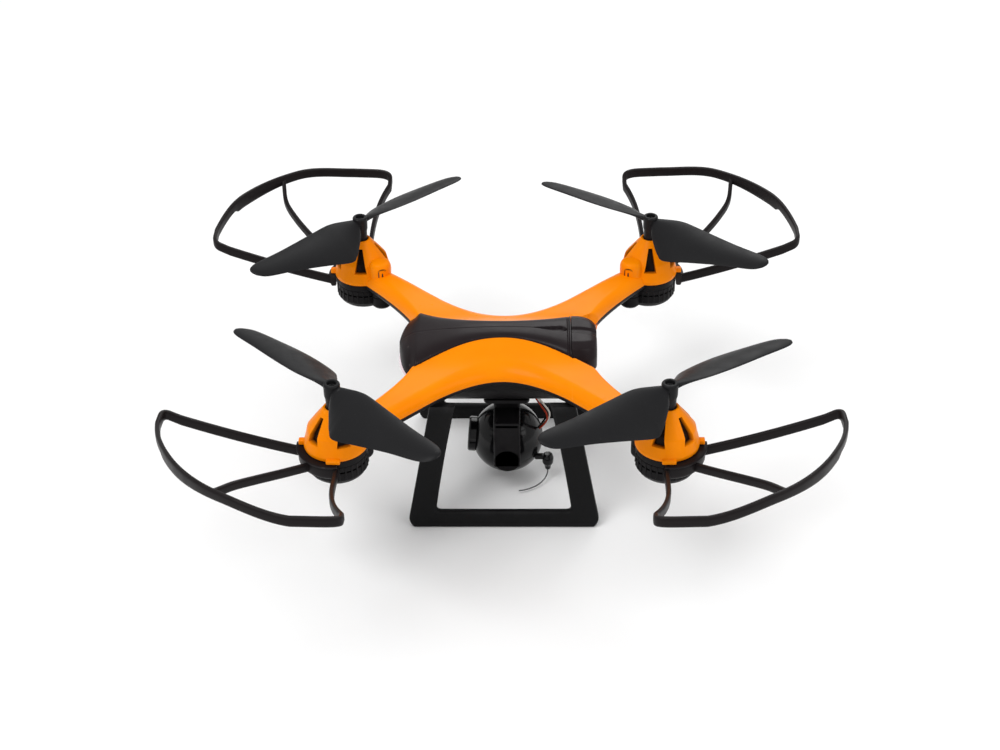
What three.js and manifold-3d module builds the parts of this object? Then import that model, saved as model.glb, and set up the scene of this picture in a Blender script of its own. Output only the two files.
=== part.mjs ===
// Toy racing quadcopter with geared rotors, propeller guards, landing skids and a tilting ball camera.
// Millimetres, +Z up, +X towards the nose, +Y to port. The ground is z = 0 and the centre is x = y = 0.
import * as THREE from 'three';
import { mergeVertices } from 'three/addons/utils/BufferGeometryUtils.js';
import Module from 'manifold-3d';

const wasm = await Module();
wasm.setup();

// ---- Driving dimensions ----
const ROTOR = 80; // each rotor axis stands at x = +-ROTOR, y = +-ROTOR
const GAP = 0.3; // clearance between neighbouring pieces
const WALL = 1.4; // moulded shell wall
const SLIVER = 0.004; // features smaller than this are merged away after the cuts
const SPLIT_Z = 77.4; // height where the top and bottom shells meet
const PROP_R = 74.6; // propeller tip radius
const PROP_TOP = 113; // top of the propeller hub
const GUARD_R = 84.6; // outer radius of a guard rim about its rotor axis
const MODULE = 0.62; // gear tooth module
const GEAR_TEETH = 40;
const PINION_TEETH = 8;
const GEAR_Z = 64.4; // underside of the gears
const GEAR_WIDTH = 2.8;
const MOTOR_OFFSET = MODULE * (GEAR_TEETH + PINION_TEETH) / 2; // rotor axis to motor axis
const MOTOR_R = 4.25;
const POD_R = 15; // black cup under each rotor
const CUP_TOP = 76.9;
const COVER_Z = 69.6; // gear cover top
const POD_FLOOR = 61.8; // gear cover underside
const BELLY_Z = 58; // underside of the fuselage
const BALL = { x: -1.5, z: 22.2, r: 19.1 }; // camera ball
const YOKE = { x0: -8.5, x1: 5.5, inner: 20, outer: 22.6 };
const BATTERY = { x0: -35.4, x1: 14, halfWidth: 12, z0: 71, z1: 83.5 };
const TAIL_X = -48.4; // end of the battery cap
const POD_SIDES = 16; // facets round a pod: each vent falls in the middle of one
const SKID = { halfLength: 49.5, y: 46, tilt: 7 * Math.PI / 180, thick: 5, bar: 9, legWidth: 13 };

const CORNERS = [
  { name: 'front_left', sx: 1, sy: 1, blade: 137, spin: 1 },
  { name: 'rear_left', sx: -1, sy: 1, blade: 32, spin: -1 },
  { name: 'front_right', sx: 1, sy: -1, blade: 43, spin: -1 },
  { name: 'rear_right', sx: -1, sy: -1, blade: 144, spin: 1 },
];

const ORANGE = { color: 0xff7a00, roughness: 0.35, metalness: 0 };
const BLACK = { color: 0x1b1b1d, roughness: 0.5, metalness: 0 };
const CHARCOAL = { color: 0x2a2a2c, roughness: 0.45, metalness: 0 };
const STEEL = { color: 0x9a9da0, roughness: 0.3, metalness: 1 };
const BRASS = { color: 0xb08a3e, roughness: 0.35, metalness: 1 };
const NYLON = { color: 0xe4e2da, roughness: 0.5, metalness: 0 };
const GREEN = { color: 0x1c5a34, roughness: 0.5, metalness: 0 };
const CLEAR = { color: 0xe8e6ee, roughness: 0.15, metalness: 0 };
const GLASS = { color: 0x0c0e14, roughness: 0.05, metalness: 0 };
const FOIL = { color: 0x35507a, roughness: 0.4, metalness: 0.2 };
const WIRE = { color: 0x8c2f1c, roughness: 0.5, metalness: 0 };

const drone = new THREE.Group();

// ---- Helpers ----

// Signed volume of an indexed triangle mesh.
function volumeOf(position, index) {
  const [a, b, c] = [new THREE.Vector3(), new THREE.Vector3(), new THREE.Vector3()];
  let sum = 0;
  for (let i = 0; i < index.length; i += 3) {
    a.fromArray(position, 3 * index[i]);
    b.fromArray(position, 3 * index[i + 1]);
    c.fromArray(position, 3 * index[i + 2]);
    sum += a.dot(b.cross(c)) / 6;
  }
  return sum;
}

// A closed geometry as a manifold solid, turned to face outwards.
function solid(geometry) {
  const bare = geometry.index ? geometry.toNonIndexed() : geometry.clone();
  bare.deleteAttribute('normal');
  bare.deleteAttribute('uv');
  const merged = mergeVertices(bare, 1e-4);
  const position = merged.attributes.position.array;
  const index = Uint32Array.from(merged.index.array);
  if (volumeOf(position, index) < 0) index.reverse();
  return new wasm.Manifold(new wasm.Mesh({ numProp: 3, vertProperties: position, triVerts: index }));
}

function join(...solids) {
  return solids.reduce((sum, next) => sum.add(next));
}

function cut(body, ...tools) {
  return tools.reduce((rest, tool) => rest.subtract(tool), body);
}

// Adds one named piece to the model.
function piece(name, body, look) {
  const made = body.simplify(SLIVER).getMesh();
  const geometry = new THREE.BufferGeometry();
  geometry.setAttribute('position', new THREE.BufferAttribute(new Float32Array(made.vertProperties), 3));
  geometry.setIndex(new THREE.BufferAttribute(new Uint32Array(made.triVerts), 1));
  geometry.computeVertexNormals();
  const mesh = new THREE.Mesh(geometry, new THREE.MeshStandardMaterial(look));
  mesh.name = name;
  drone.add(mesh);
}

function box(x0, x1, y0, y1, z0, z1) {
  const g = new THREE.BoxGeometry(x1 - x0, y1 - y0, z1 - z0);
  return solid(g.translate((x0 + x1) / 2, (y0 + y1) / 2, (z0 + z1) / 2));
}

// A solid of revolution about a vertical axis at (x, y); profile is a list of [radius, height].
function turned(profile, x = 0, y = 0, sides = 24) {
  const points = profile.map(([r, z]) => new THREE.Vector2(r, z));
  const first = profile[0];
  const last = profile[profile.length - 1];
  if (first[0] > 0 || last[0] > 0) points.push(points[0].clone());
  const g = new THREE.LatheGeometry(points, sides, Math.PI / sides); // a facet faces each axis
  return solid(g.rotateX(Math.PI / 2).translate(x, y, 0));
}

function rod(r, z0, z1, x = 0, y = 0, sides = 24) {
  return turned([[0, z0], [r, z0], [r, z1], [0, z1]], x, y, sides);
}

// A closed skin through a list of rings that all have the same number of points.
function loft(rings) {
  const count = rings[0].length;
  const position = rings.flat(2);
  const index = [];
  for (let k = 0; k + 1 < rings.length; k += 1) {
    for (let i = 0; i < count; i += 1) {
      const j = (i + 1) % count;
      const low = k * count;
      const high = low + count;
      index.push(low + i, low + j, high + j, low + i, high + j, high + i);
    }
  }
  for (const [ring, offset, turn] of [[rings[0], 0, true], [rings.at(-1), (rings.length - 1) * count, false]]) {
    const centre = position.length / 3;
    for (let axis = 0; axis < 3; axis += 1) {
      position.push(ring.reduce((sum, p) => sum + p[axis], 0) / count);
    }
    for (let i = 0; i < count; i += 1) {
      const j = (i + 1) % count;
      index.push(centre, offset + (turn ? j : i), offset + (turn ? i : j));
    }
  }
  const g = new THREE.BufferGeometry();
  g.setAttribute('position', new THREE.Float32BufferAttribute(position, 3));
  g.setIndex(index);
  return solid(g);
}

// A bar of rectangular section (width flat, height upright) swept through a list of points.
function bar(points, width, height) {
  const rings = points.map((p, k) => {
    const before = points[Math.max(k - 1, 0)];
    const after = points[Math.min(k + 1, points.length - 1)];
    const along = new THREE.Vector3().subVectors(after, before).setZ(0).normalize();
    const side = new THREE.Vector3(-along.y, along.x, 0).multiplyScalar(width / 2);
    return [[1, 1], [-1, 1], [-1, -1], [1, -1]].map(([s, u]) => [
      p.x + s * side.x, p.y + s * side.y, p.z + u * height / 2]);
  });
  return loft(rings);
}

function mix(a, b, t) {
  return a + (b - a) * t;
}

// ---- Plan shape and height of the shells, in one quadrant ----
const WAIST = new THREE.QuadraticBezierCurve(
  new THREE.Vector2(0, 28.3), new THREE.Vector2(15, 28.3), new THREE.Vector2(34, 45));
const ARM_END = new THREE.QuadraticBezierCurve(
  new THREE.Vector2(45, 15), new THREE.Vector2(49, 34), new THREE.Vector2(79.4, 67.6));
const ARM_START_X = 45; // the arms branch off the centre body here

// Half-width of the centre body at distance x from the middle.
function waistWidth(x) {
  const slope = 0.98;
  if (x >= 34) return 45 + slope * (x - 34);
  // WAIST has x = 30 t (1 - t) + 34 t^2, so t is the root of 4 t^2 + 30 t - x.
  const t = (-30 + Math.sqrt(900 + 16 * x)) / 8;
  return WAIST.getPoint(t).y;
}

// Height of the top shell above the split, at (x, y), at distance d from the nearest outline edge.
function crown(x, y, d) {
  const ridge = 6 + 8.5 * (1 - 0.25 * (x / 45) ** 2) * Math.exp(-((y / 16) ** 2));
  const q = THREE.MathUtils.clamp(d / 9, 0, 1);
  return ridge * Math.sqrt(1 - (1 - q) ** 2);
}

// One cross-section from plan point a to plan point b: a flat base at z0 and a crowned top.
function crownedSection(a, b, z0, inset, drop) {
  const length = Math.hypot(b[0] - a[0], b[1] - a[1]);
  const steps = inset > 0 ? [0, 0.07, 0.25, 0.5, 0.75, 0.93, 1] : [0, 0.04, 0.13, 0.3, 0.5, 0.7, 0.87, 0.96, 1];
  const top = steps.map((s) => {
    const t = mix(inset / length, 1 - inset / length, s);
    const x = mix(a[0], b[0], t);
    const y = mix(a[1], b[1], t);
    const d = Math.min(t, 1 - t) * length;
    return [x, y, SPLIT_Z + Math.max(crown(Math.abs(x), y, d) - drop, 0.05) + 0.6];
  });
  const first = top[0];
  const last = top.at(-1);
  return [[first[0], first[1], z0], ...top, [last[0], last[1], z0]];
}

const CENTRE_STATIONS = [-45, -35, -24, -12, 0, 12, 24, 35, 45];
// Fractions of the arm's length. The first section is tucked inside the centre body.
const ARM_STATIONS = [[-0.15, 1.4], [0.012, 0], [0.35, 0], [0.7, 0], [1, 0]];

// Plan points of the arm's two edges at fraction t of its length, from the centre body to the pod.
function armEdges(t, { sx, sy }) {
  const x = mix(ARM_START_X, 68.2, t);
  const end = ARM_END.getPoint(t);
  return [[sx * x, sy * waistWidth(x)], [sx * end.x, sy * end.y]];
}

// The X-shaped upper form: inset and drop make the matching inner form.
function upperForm(z0, inset = 0, drop = 0) {
  const centre = loft(CENTRE_STATIONS.map((x) => {
    const w = waistWidth(Math.abs(x));
    return crownedSection([x, -w], [x, w], z0, inset, drop);
  }));
  const arms = CORNERS.map((corner) => loft(ARM_STATIONS.map(([t, tuck]) => {
    const [side, end] = armEdges(t, corner);
    return crownedSection(side, end, z0 + tuck / 2, inset + tuck, drop + tuck);
  })));
  return join(centre, ...arms);
}

// ---- Pods ----
const CAP_PROFILE = [
  [0, SPLIT_Z], [15.6, SPLIT_Z], [15.6, 79.2], [14, 84.6], [13.3, 88], [11.8, 90.2], [4.7, 99.4], [0, 99.4]];
const CAP_HOLLOW = [
  [4.1, SPLIT_Z - 1], [14, SPLIT_Z - 1], [12.7, 85.5], [11.8, 87.9], [10.5, 89.6], [4.1, 97]];
// Bore up the middle of a pod: shaft clearance, bush seat, neck, and the recess round the propeller hub.
const BORE = [
  [0, SPLIT_Z - 1], [4, SPLIT_Z - 1], [4, 86], [2.9, 86], [2.9, 93.6], [1.5, 93.6], [1.5, 95.6], [3.85, 95.6],
  [3.85, 100], [0, 100]];
const VENTS = [0, 67.5, -67.5, 135, -135]; // degrees from the outward diagonal

function podAxis({ sx, sy }) {
  return [sx * ROTOR, sy * ROTOR];
}

function motorAxis({ sx, sy }) {
  const d = ROTOR - MOTOR_OFFSET / Math.SQRT2;
  return [sx * d, sy * d];
}

function outward({ sx, sy }) {
  return Math.atan2(sy, sx);
}

// Tapered cutter for one vent, pointing along angle from the rotor axis.
function ventCutter(x, y, angle) {
  const outline = new THREE.Shape([
    new THREE.Vector2(-2.2, 86.2), new THREE.Vector2(2.2, 86.2),
    new THREE.Vector2(0.7, 95.6), new THREE.Vector2(-0.7, 95.6)]);
  const g = new THREE.ExtrudeGeometry(outline, { depth: 11.5, bevelEnabled: false });
  return solid(g.rotateX(Math.PI / 2).rotateZ(Math.PI / 2).translate(5, 0, 0)
    .rotateZ(angle).translate(x, y, 0));
}

// A block that reaches outwards from the rotor axis, between radii r0 and r1.
function radialBlock(x, y, angle, r0, r1, width, z0, z1) {
  const g = new THREE.BoxGeometry(r1 - r0, width, z1 - z0).translate((r0 + r1) / 2, 0, (z0 + z1) / 2);
  return solid(g.rotateZ(angle).translate(x, y, 0));
}

function makeTopShell() {
  const batteryMouth = box(-60, BATTERY.x0 + GAP, -19.2, 19.2, 70, 100);
  let shell = cut(upperForm(SPLIT_Z), upperForm(SPLIT_Z - 2, WALL, WALL + 0.6), batteryMouth);
  for (const corner of CORNERS) {
    const [x, y] = podAxis(corner);
    const [mx, my] = motorAxis(corner);
    const xLug = corner.sx > 0 ? 0 : Math.PI;
    const yLug = corner.sy * Math.PI / 2;
    shell = join(
      shell,
      turned(CAP_PROFILE, x, y, POD_SIDES),
      turned([[0, SPLIT_Z], [6.1, SPLIT_Z], [6.1, 88.6], [4.8, 90.9], [0, 90.9]], mx, my, 12),
      radialBlock(x, y, xLug, 14.5, 18.2, 3.2, SPLIT_Z, 80),
      radialBlock(x, y, yLug, 14.5, 17.6, 5.6, SPLIT_Z, 79.4));
    shell = cut(
      shell,
      turned(CAP_HOLLOW, x, y, POD_SIDES),
      turned(BORE, x, y, 10),
      rod(4.75, SPLIT_Z - 1, 89.8, mx, my, 12),
      ...VENTS.map((v) => ventCutter(x, y, outward(corner) + v * Math.PI / 180)));
  }
  return shell;
}

// ---- Bottom shell ----
function lowerSection(a, b, lid, depth, inset) {
  const length = Math.hypot(b[0] - a[0], b[1] - a[1]);
  const rim = SPLIT_Z - GAP - 0.8;
  const steps = [0, 0.06, 0.2, 0.5, 0.8, 0.94, 1];
  const under = steps.map((s) => {
    const t = mix(inset / length, 1 - inset / length, s);
    const d = Math.min(t, 1 - t) * length;
    const round = Math.sqrt(1 - (1 - THREE.MathUtils.clamp(d / 8, 0, 1)) ** 2);
    return [mix(a[0], b[0], t), mix(a[1], b[1], t), rim - depth * round];
  });
  const first = under[0];
  const last = under.at(-1);
  return [[first[0], first[1], lid], ...under, [last[0], last[1], lid]];
}

// The X-shaped lower form; an inner form stands proud of the split so that it cuts right through it.
function lowerForm(depth, inset = 0) {
  const lid = SPLIT_Z - GAP + (inset > 0 ? 2 : 0);
  const centre = loft(CENTRE_STATIONS.map((x) => {
    const w = waistWidth(Math.abs(x)) - 0.4;
    return lowerSection([x, -w], [x, w], lid, depth, inset);
  }));
  const arms = CORNERS.map((corner) => loft(ARM_STATIONS.map(([t, tuck]) => {
    const [side, end] = armEdges(t, corner);
    return lowerSection(side, end, lid - tuck / 2, depth - tuck, inset + tuck);
  })));
  return join(centre, ...arms);
}

// The fuselage below the split: rounded in plan, tapering to a flat belly.
function bellyForm(inset) {
  const levels = [
    [SPLIT_Z - GAP - 0.1, 27, 50.5, 10], [70, 26, 49.5, 10], [64, 22.5, 46.5, 9], [60, 18.5, 43, 8],
    [BELLY_Z, 15.5, 40, 7]];
  const rings = levels.map(([z, halfWidth, noseX, corner], k) => {
    const rise = k === levels.length - 1 ? inset : 0;
    const lift = k === 0 && inset > 0 ? 2 : 0;
    const w = halfWidth - inset - corner;
    const centres = [[noseX - inset - corner, w], [6 - noseX + inset + corner, w]];
    centres.push([centres[1][0], -w], [centres[0][0], -w]);
    return centres.flatMap(([cx, cy], quarter) => [0, 1, 2, 3].map((step) => {
      const a = (quarter + step / 3) * Math.PI / 2;
      return [cx + corner * Math.cos(a), cy + corner * Math.sin(a), z + rise + lift];
    }));
  });
  return loft(rings);
}

const BOARD_POSTS = [[-4, -11], [-4, 11], [32, -11], [32, 11]];

function makeBottomShell() {
  let shell = join(lowerForm(4), bellyForm(0));
  shell = cut(shell, lowerForm(4 - WALL, WALL), bellyForm(WALL));
  const cups = CORNERS.map((corner) => {
    const [x, y] = podAxis(corner);
    return turned([[0, COVER_Z + GAP], [POD_R, COVER_Z + GAP], [POD_R, CUP_TOP], [0, CUP_TOP]], x, y, POD_SIDES);
  });
  shell = join(shell, ...cups);
  for (const corner of CORNERS) {
    const [x, y] = podAxis(corner);
    const [mx, my] = motorAxis(corner);
    shell = join(shell, rod(6.1, COVER_Z + GAP, CUP_TOP, mx, my, 14));
    shell = cut(
      shell,
      rod(POD_R - WALL, COVER_Z + 1.8, 90, x, y, POD_SIDES),
      rod(3, COVER_Z - 1, 90, x, y, 10),
      rod(MOTOR_R + GAP, COVER_Z - 1, 90, mx, my, 12));
  }
  const posts = BOARD_POSTS.map(([x, y]) => rod(1.8, BELLY_Z + 1, 60.7, x, y, 6));
  shell = join(shell, ...posts);
  return cut(
    shell,
    box(-60, BATTERY.x0 + GAP, -19.2, 19.2, BATTERY.z0 - 0.2, 90), // room for the battery cap
    box(-60, -30, -12.6, 12.6, BATTERY.z0 - 0.6, 90), // mouth of the battery bay
    box(-34.6, -27.4, -1.6, 1.6, BELLY_Z - 1, BELLY_Z + 3), // slot for the power switch
    box(-20.6, -13.6, 3, 9, BELLY_Z - 1, BELLY_Z + 3), // socket for the camera lead
    makeHeadlight(1, GAP),
    makeHeadlight(-1, GAP));
}

function makeGearCover(corner) {
  const [x, y] = podAxis(corner);
  const [mx, my] = motorAxis(corner);
  const outside = join(
    turned([[0, POD_FLOOR], [12.6, POD_FLOOR], [14.9, 64.4], [14.9, COVER_Z], [0, COVER_Z]], x, y, POD_SIDES),
    turned([[0, POD_FLOOR + 0.6], [4.6, POD_FLOOR + 0.6], [6.1, 64], [6.1, COVER_Z], [0, COVER_Z]], mx, my, 14));
  return cut(
    outside,
    rod(13.55, 63.4, COVER_Z + 1, x, y, POD_SIDES),
    rod(4.6, 63.4, COVER_Z + 1, mx, my, 12),
    rod(1.25, POD_FLOOR - 1, 64, x, y, 8));
}

// ---- Canopy and nose lights ----
function canopyWidth(x) {
  const nose = x > 0 ? 1 : 1.08;
  return 7.6 + 13.4 * (Math.min(Math.abs(x * nose), 42) / 42) ** 1.9;
}

// Plan outline of the canopy: half-width at x, closing in a round nose at NOSE_X.
const NOSE_X = 54.2;
const CANOPY_STATIONS = [-35, -28, -21, -14, -7, 0, 7, 14, 21, 28, 35, 40, 44, 47.5, 50.5, 52.8, NOSE_X];

function canopyHalf(x) {
  if (x < 40) return canopyWidth(x);
  const t = (x - 40) / (NOSE_X - 40);
  return canopyWidth(40) * Math.sqrt(Math.max(1 - t ** 2.6, 0.03));
}

function canopySection(x, side) {
  const w = canopyHalf(x);
  const over = Math.max(x - 44, 0) / (NOSE_X - 44);
  const top = 92.6 - 0.0016 * x * x - 4.5 * over ** 2;
  const d = Math.max(waistWidth(Math.abs(x)) - w, 0);
  const edge = x > 45 ? SPLIT_Z + 1 : SPLIT_Z + 0.6 + crown(Math.abs(x), w, d) + GAP;
  const rise = top - edge;
  const steps = [1, 0.94, 0.82, 0.62, 0.34, 0, -0.34, -0.62, -0.82, -0.94, -1];
  return steps.map((s) => [x, side * s * w, edge + rise * (1 - Math.abs(s) ** 3.2) ** 0.6]);
}

function makeCanopy() {
  const outer = loft(CANOPY_STATIONS.map((x) => {
    const arch = canopySection(x, 1);
    const low = x > 45 ? SPLIT_Z + 0.2 : 80;
    return [[x, -canopyHalf(x), low], [x, canopyHalf(x), low], ...arch];
  }));
  const clearance = upperForm(SPLIT_Z - 2, -0.3, -GAP); // keeps the canopy off the top shell
  const hollow = loft(CANOPY_STATIONS.slice(0, -1).map((x) => {
    const w = Math.max(canopyHalf(x) - 1.4, 1);
    const arch = canopySection(x, 1).map(([, y, z]) => [x, y * w / canopyHalf(x), z - 1.3]);
    return [[x, -w, 70], [x, w, 70], ...arch];
  }));
  const skirt = cut(outer, hollow.intersect(box(45.4, 53, -30, 30, 60, 100)));
  return cut(skirt, clearance, makeHeadlight(1, GAP), makeHeadlight(-1, GAP));
}

// One clear lens wrapped round the nose corner; grow makes the matching recess.
function makeHeadlight(side, grow = 0) {
  const centreX = 36.6;
  const levels = [[66.5 - grow, 13.4], [70, 15.2], [74, 16.2], [76.8 + 2 * grow, 16.6]];
  const rings = levels.map(([z, r]) => {
    const spread = Math.sign(grow) * 1.2;
    const angles = [22 - spread, 31, 40, 49, 58 + spread];
    const at = (radius, a) => [
      centreX + radius * Math.cos(a * Math.PI / 180), side * 1.18 * radius * Math.sin(a * Math.PI / 180), z];
    const outer = angles.map((a) => at(r + 1.2 + 4 * grow, a));
    const inner = angles.toReversed().map((a) => at(r - 1.2 - grow, a));
    return [...outer, ...inner];
  });
  return loft(rings);
}

// ---- Propellers ----
// Blade edges as distances ahead of and behind the radial line, and twist, at a list of radii.
const BLADE = [
  { r: 3, ahead: 2, behind: 2.4, twist: 24, thick: 3 },
  { r: 9, ahead: 3.8, behind: 8, twist: 30, thick: 2.3 },
  { r: 15, ahead: 5.6, behind: 18, twist: 29, thick: 1.9 },
  { r: 21, ahead: 6, behind: 21, twist: 26.5, thick: 1.7 },
  { r: 36, ahead: 4.8, behind: 18, twist: 20, thick: 1.4 },
  { r: 53, ahead: 3.3, behind: 13.6, twist: 15.5, thick: 1.2 },
  { r: 68, ahead: 2.5, behind: 10, twist: 13, thick: 1 },
  { r: 73, ahead: 0.9, behind: 6.6, twist: 12, thick: 0.9 },
  { r: PROP_R, ahead: -1.2, behind: 3.6, twist: 12, thick: 0.6 }];
const BLADE_Z = 109.6;

// Thin cambered aerofoil ring of one blade station, along +X, leading edge on the +Y side.
function bladeRing({ r, ahead, behind, twist, thick }) {
  const chord = ahead + behind;
  const a = twist * Math.PI / 180;
  const at = (s, up) => {
    const across = ahead - s * chord;
    const camber = 0.07 * chord * 4 * s * (1 - s);
    const h = camber + up * thick * (0.25 + 3 * s * (1 - s)) / 2;
    return [r, across * Math.cos(a) - h * Math.sin(a), BLADE_Z + across * Math.sin(a) + h * Math.cos(a)];
  };
  const steps = [0, 0.4, 1];
  return [...steps.map((s) => at(s, 1)), ...steps.toReversed().map((s) => at(s, -1))];
}

function makePropeller(corner) {
  const rings = BLADE.map(bladeRing);
  const flip = corner.spin;
  const turnRing = (ring, sign) => ring.map(([x, y, z]) => [sign * x, sign * flip * y, z]);
  const blades = [1, -1].map((sign) => loft(rings.map((ring) => turnRing(ring, sign))));
  const hub = turned([[0, 96.4], [3.3, 96.4], [3.5, 104], [3.9, 106], [4, 112.2], [3.4, PROP_TOP], [0, PROP_TOP]], 0, 0, 16);
  const bore = join(rod(1.12, 90, 107.3, 0, 0, 8), rod(0.85, 100, 120, 0, 0, 8), rod(2.25, 110, 120, 0, 0, 10));
  const whole = cut(join(hub, ...blades), bore);
  const [x, y] = podAxis(corner);
  return whole.rotate([0, 0, corner.blade]).translate([x, y, 0]);
}

function makePropScrew([x, y]) {
  const body = join(rod(1.9, 110.2, 111.6, x, y, 10), rod(0.6, 104.4, 110.4, x, y, 6));
  const slot = (turn) => radialBlock(x, y, turn, -1.2, 1.2, 0.4, 111, 112);
  return cut(body, slot(0), slot(Math.PI / 2));
}

function makeShaft([x, y]) {
  return turned([[0, 62.2], [1, 62.2], [1, 107], [0.85, 107], [0.85, 103.6], [0, 103.6]], x, y, 8);
}

// ---- Gears ----
// A spur gear outline with straight-flanked teeth; a tooth is centred on angle phase.
function gearShape(teeth, phase, tipFraction) {
  const pitch = MODULE * teeth / 2;
  const step = 2 * Math.PI / teeth;
  const levels = [[pitch - 1.15 * MODULE, 0.3], [pitch + 0.8 * MODULE, tipFraction]];
  const shape = new THREE.Shape();
  for (let k = 0; k < teeth; k += 1) {
    const centre = phase + k * step;
    const corners = [[0, -1], [1, -1], [1, 1], [0, 1]].map(([level, side]) => {
      const [r, half] = levels[level];
      const a = centre + side * half * step;
      return [r * Math.cos(a), r * Math.sin(a)];
    });
    corners.forEach(([px, py], i) => (k === 0 && i === 0 ? shape.moveTo(px, py) : shape.lineTo(px, py)));
  }
  return shape;
}

function extrudedGear(teeth, phase, tipFraction, [x, y], z0, width) {
  const g = new THREE.ExtrudeGeometry(gearShape(teeth, phase, tipFraction), { depth: width, bevelEnabled: false });
  return solid(g.translate(x, y, z0));
}

function makeMainGear(corner) {
  const axis = podAxis(corner);
  const inward = outward(corner) + Math.PI;
  const wheel = join(
    extrudedGear(GEAR_TEETH, inward, 0.11, axis, GEAR_Z, GEAR_WIDTH),
    rod(2.4, GEAR_Z, 71.6, ...axis, 8));
  return cut(wheel, rod(1.06, 60, 75, ...axis, 8));
}

// The pinion has a gap, not a tooth, facing the main gear.
function makePinion(corner) {
  const axis = motorAxis(corner);
  const phase = outward(corner) + Math.PI / PINION_TEETH;
  const wheel = extrudedGear(PINION_TEETH, phase, 0.1, axis, GEAR_Z - 0.2, GEAR_WIDTH + 0.4);
  return cut(wheel, rod(0.6, 60, 75, ...axis, 6));
}

function makeMotor(corner) {
  const [x, y] = motorAxis(corner);
  return join(rod(MOTOR_R, 69, 89.2, x, y, 12), rod(0.5, 64, 70, x, y, 6), rod(1.6, 68.2, 69.2, x, y, 8));
}

function makeBush([x, y]) {
  return cut(rod(2.6, 88, 92.9, x, y, 12), rod(1.13, 80, 100, x, y, 8));
}

// ---- Guards ----
const BRACKET = { r0: 15.5, r1: 18.8, z0: 69.4, z1: 76.5, half: 50 * Math.PI / 180 };

function guardPoint(r, degrees, z) {
  const a = degrees * Math.PI / 180;
  return new THREE.Vector3(r * Math.cos(a), r * Math.sin(a), z);
}

// Height of the guard's frame where its spokes cross radius r.
function spokeHeight(r) {
  const t = (r - 18) / (GUARD_R - 18);
  return 72.8 + 18.2 * t + 4.6 * t * t;
}

// Rim height at angle a from the middle: level in the middle, stepping down to the ends.
function rimHeight(a) {
  const t = THREE.MathUtils.smoothstep(Math.abs(a), 14, 40);
  return mix(101, 96.4, t);
}

// The guard in a frame centred on its rotor, spanning 0 to 90 degrees.
function makeGuard(corner) {
  const rimR = GUARD_R - 1.2;
  const corner0 = 8; // corner rounding
  const leg = (deg) => [18, 30, 45, 60, rimR - corner0 - 2].map((r) => guardPoint(r, deg, spokeHeight(r)));
  const bendA = [
    guardPoint(rimR - 3.6, 0.4, 96), guardPoint(rimR - 0.7, 3, 96.4)];
  const bendB = [
    guardPoint(rimR - 0.7, 87, 96.4), guardPoint(rimR - 3.6, 89.6, 96)];
  const arc = [];
  for (let a = 8; a <= 82; a += 74 / 9) arc.push(guardPoint(rimR, a, rimHeight(a - 45)));
  const loop = [...leg(0), ...bendA, ...arc, ...bendB, ...leg(90).reverse()];
  const middle = [18, 32, 48, 62, 74, rimR - 0.6].map((r, k) => guardPoint(r, 45 + 5 * (k / 5) ** 2, mix(
    spokeHeight(r), 100.6, k / 5 > 0.9 ? 1 : 0)));
  const frame = join(bar(loop, 2.4, 4.6), bar(middle, 2.4, 3.6));
  const band = new THREE.Shape();
  band.absarc(0, 0, BRACKET.r1, Math.PI / 4 - BRACKET.half, Math.PI / 4 + BRACKET.half, false);
  band.absarc(0, 0, BRACKET.r0, Math.PI / 4 + BRACKET.half, Math.PI / 4 - BRACKET.half, true);
  const bracket = solid(new THREE.ExtrudeGeometry(band, {
    depth: BRACKET.z1 - BRACKET.z0, bevelEnabled: false, curveSegments: 5 }).translate(0, 0, BRACKET.z0));
  const cleared = cut(join(frame, bracket), rod(BRACKET.r0, 60, 100, 0, 0, 28));
  const [x, y] = podAxis(corner);
  return cleared.scale([corner.sx, corner.sy, 1]).translate([x, y, 0]);
}

// ---- Landing skids ----
function makeSkid(side) {
  const { halfLength: l, legWidth: w } = SKID;
  const topHalf = 37;
  const height = 72;
  const bottom = -2;
  const frame = new THREE.Shape();
  frame.moveTo(-topHalf, height);
  frame.lineTo(-l + 0.9, 7);
  frame.absarc(-l + 7, bottom + 7, 7, Math.PI * 0.98, Math.PI * 1.5, false);
  frame.absarc(l - 7, bottom + 7, 7, Math.PI * 1.5, Math.PI * 2.02, false);
  frame.lineTo(topHalf, height);
  frame.lineTo(topHalf - w + 1, height);
  frame.quadraticCurveTo(topHalf - w + 7, 45, l - w - 1.6, SKID.bar + 3);
  frame.quadraticCurveTo(l - w - 1.4, SKID.bar, l - w - 4.4, SKID.bar);
  frame.lineTo(-l + w + 4.4, SKID.bar);
  frame.quadraticCurveTo(-l + w + 1.4, SKID.bar, -l + w + 1.6, SKID.bar + 3);
  frame.quadraticCurveTo(-topHalf + w - 7, 45, -topHalf + w - 1, height);
  frame.closePath();
  const bevel = 0.9;
  const g = new THREE.ExtrudeGeometry(frame, {
    depth: SKID.thick - 2 * bevel, bevelThickness: bevel, bevelSize: bevel, bevelOffset: -bevel,
    bevelSegments: 1, curveSegments: 4 });
  g.translate(0, 0, bevel).rotateX(Math.PI / 2); // the frame stands in X-Z, its thickness towards -Y
  g.translate(0, SKID.thick, 0).rotateX(SKID.tilt).translate(0, SKID.y, 0);
  const whole = solid(side > 0 ? g : g.scale(1, -1, 1));
  return cut(whole, box(-80, 80, -80, 80, -20, 0), box(-80, 80, -80, 80, 71.6, 100));
}

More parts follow.
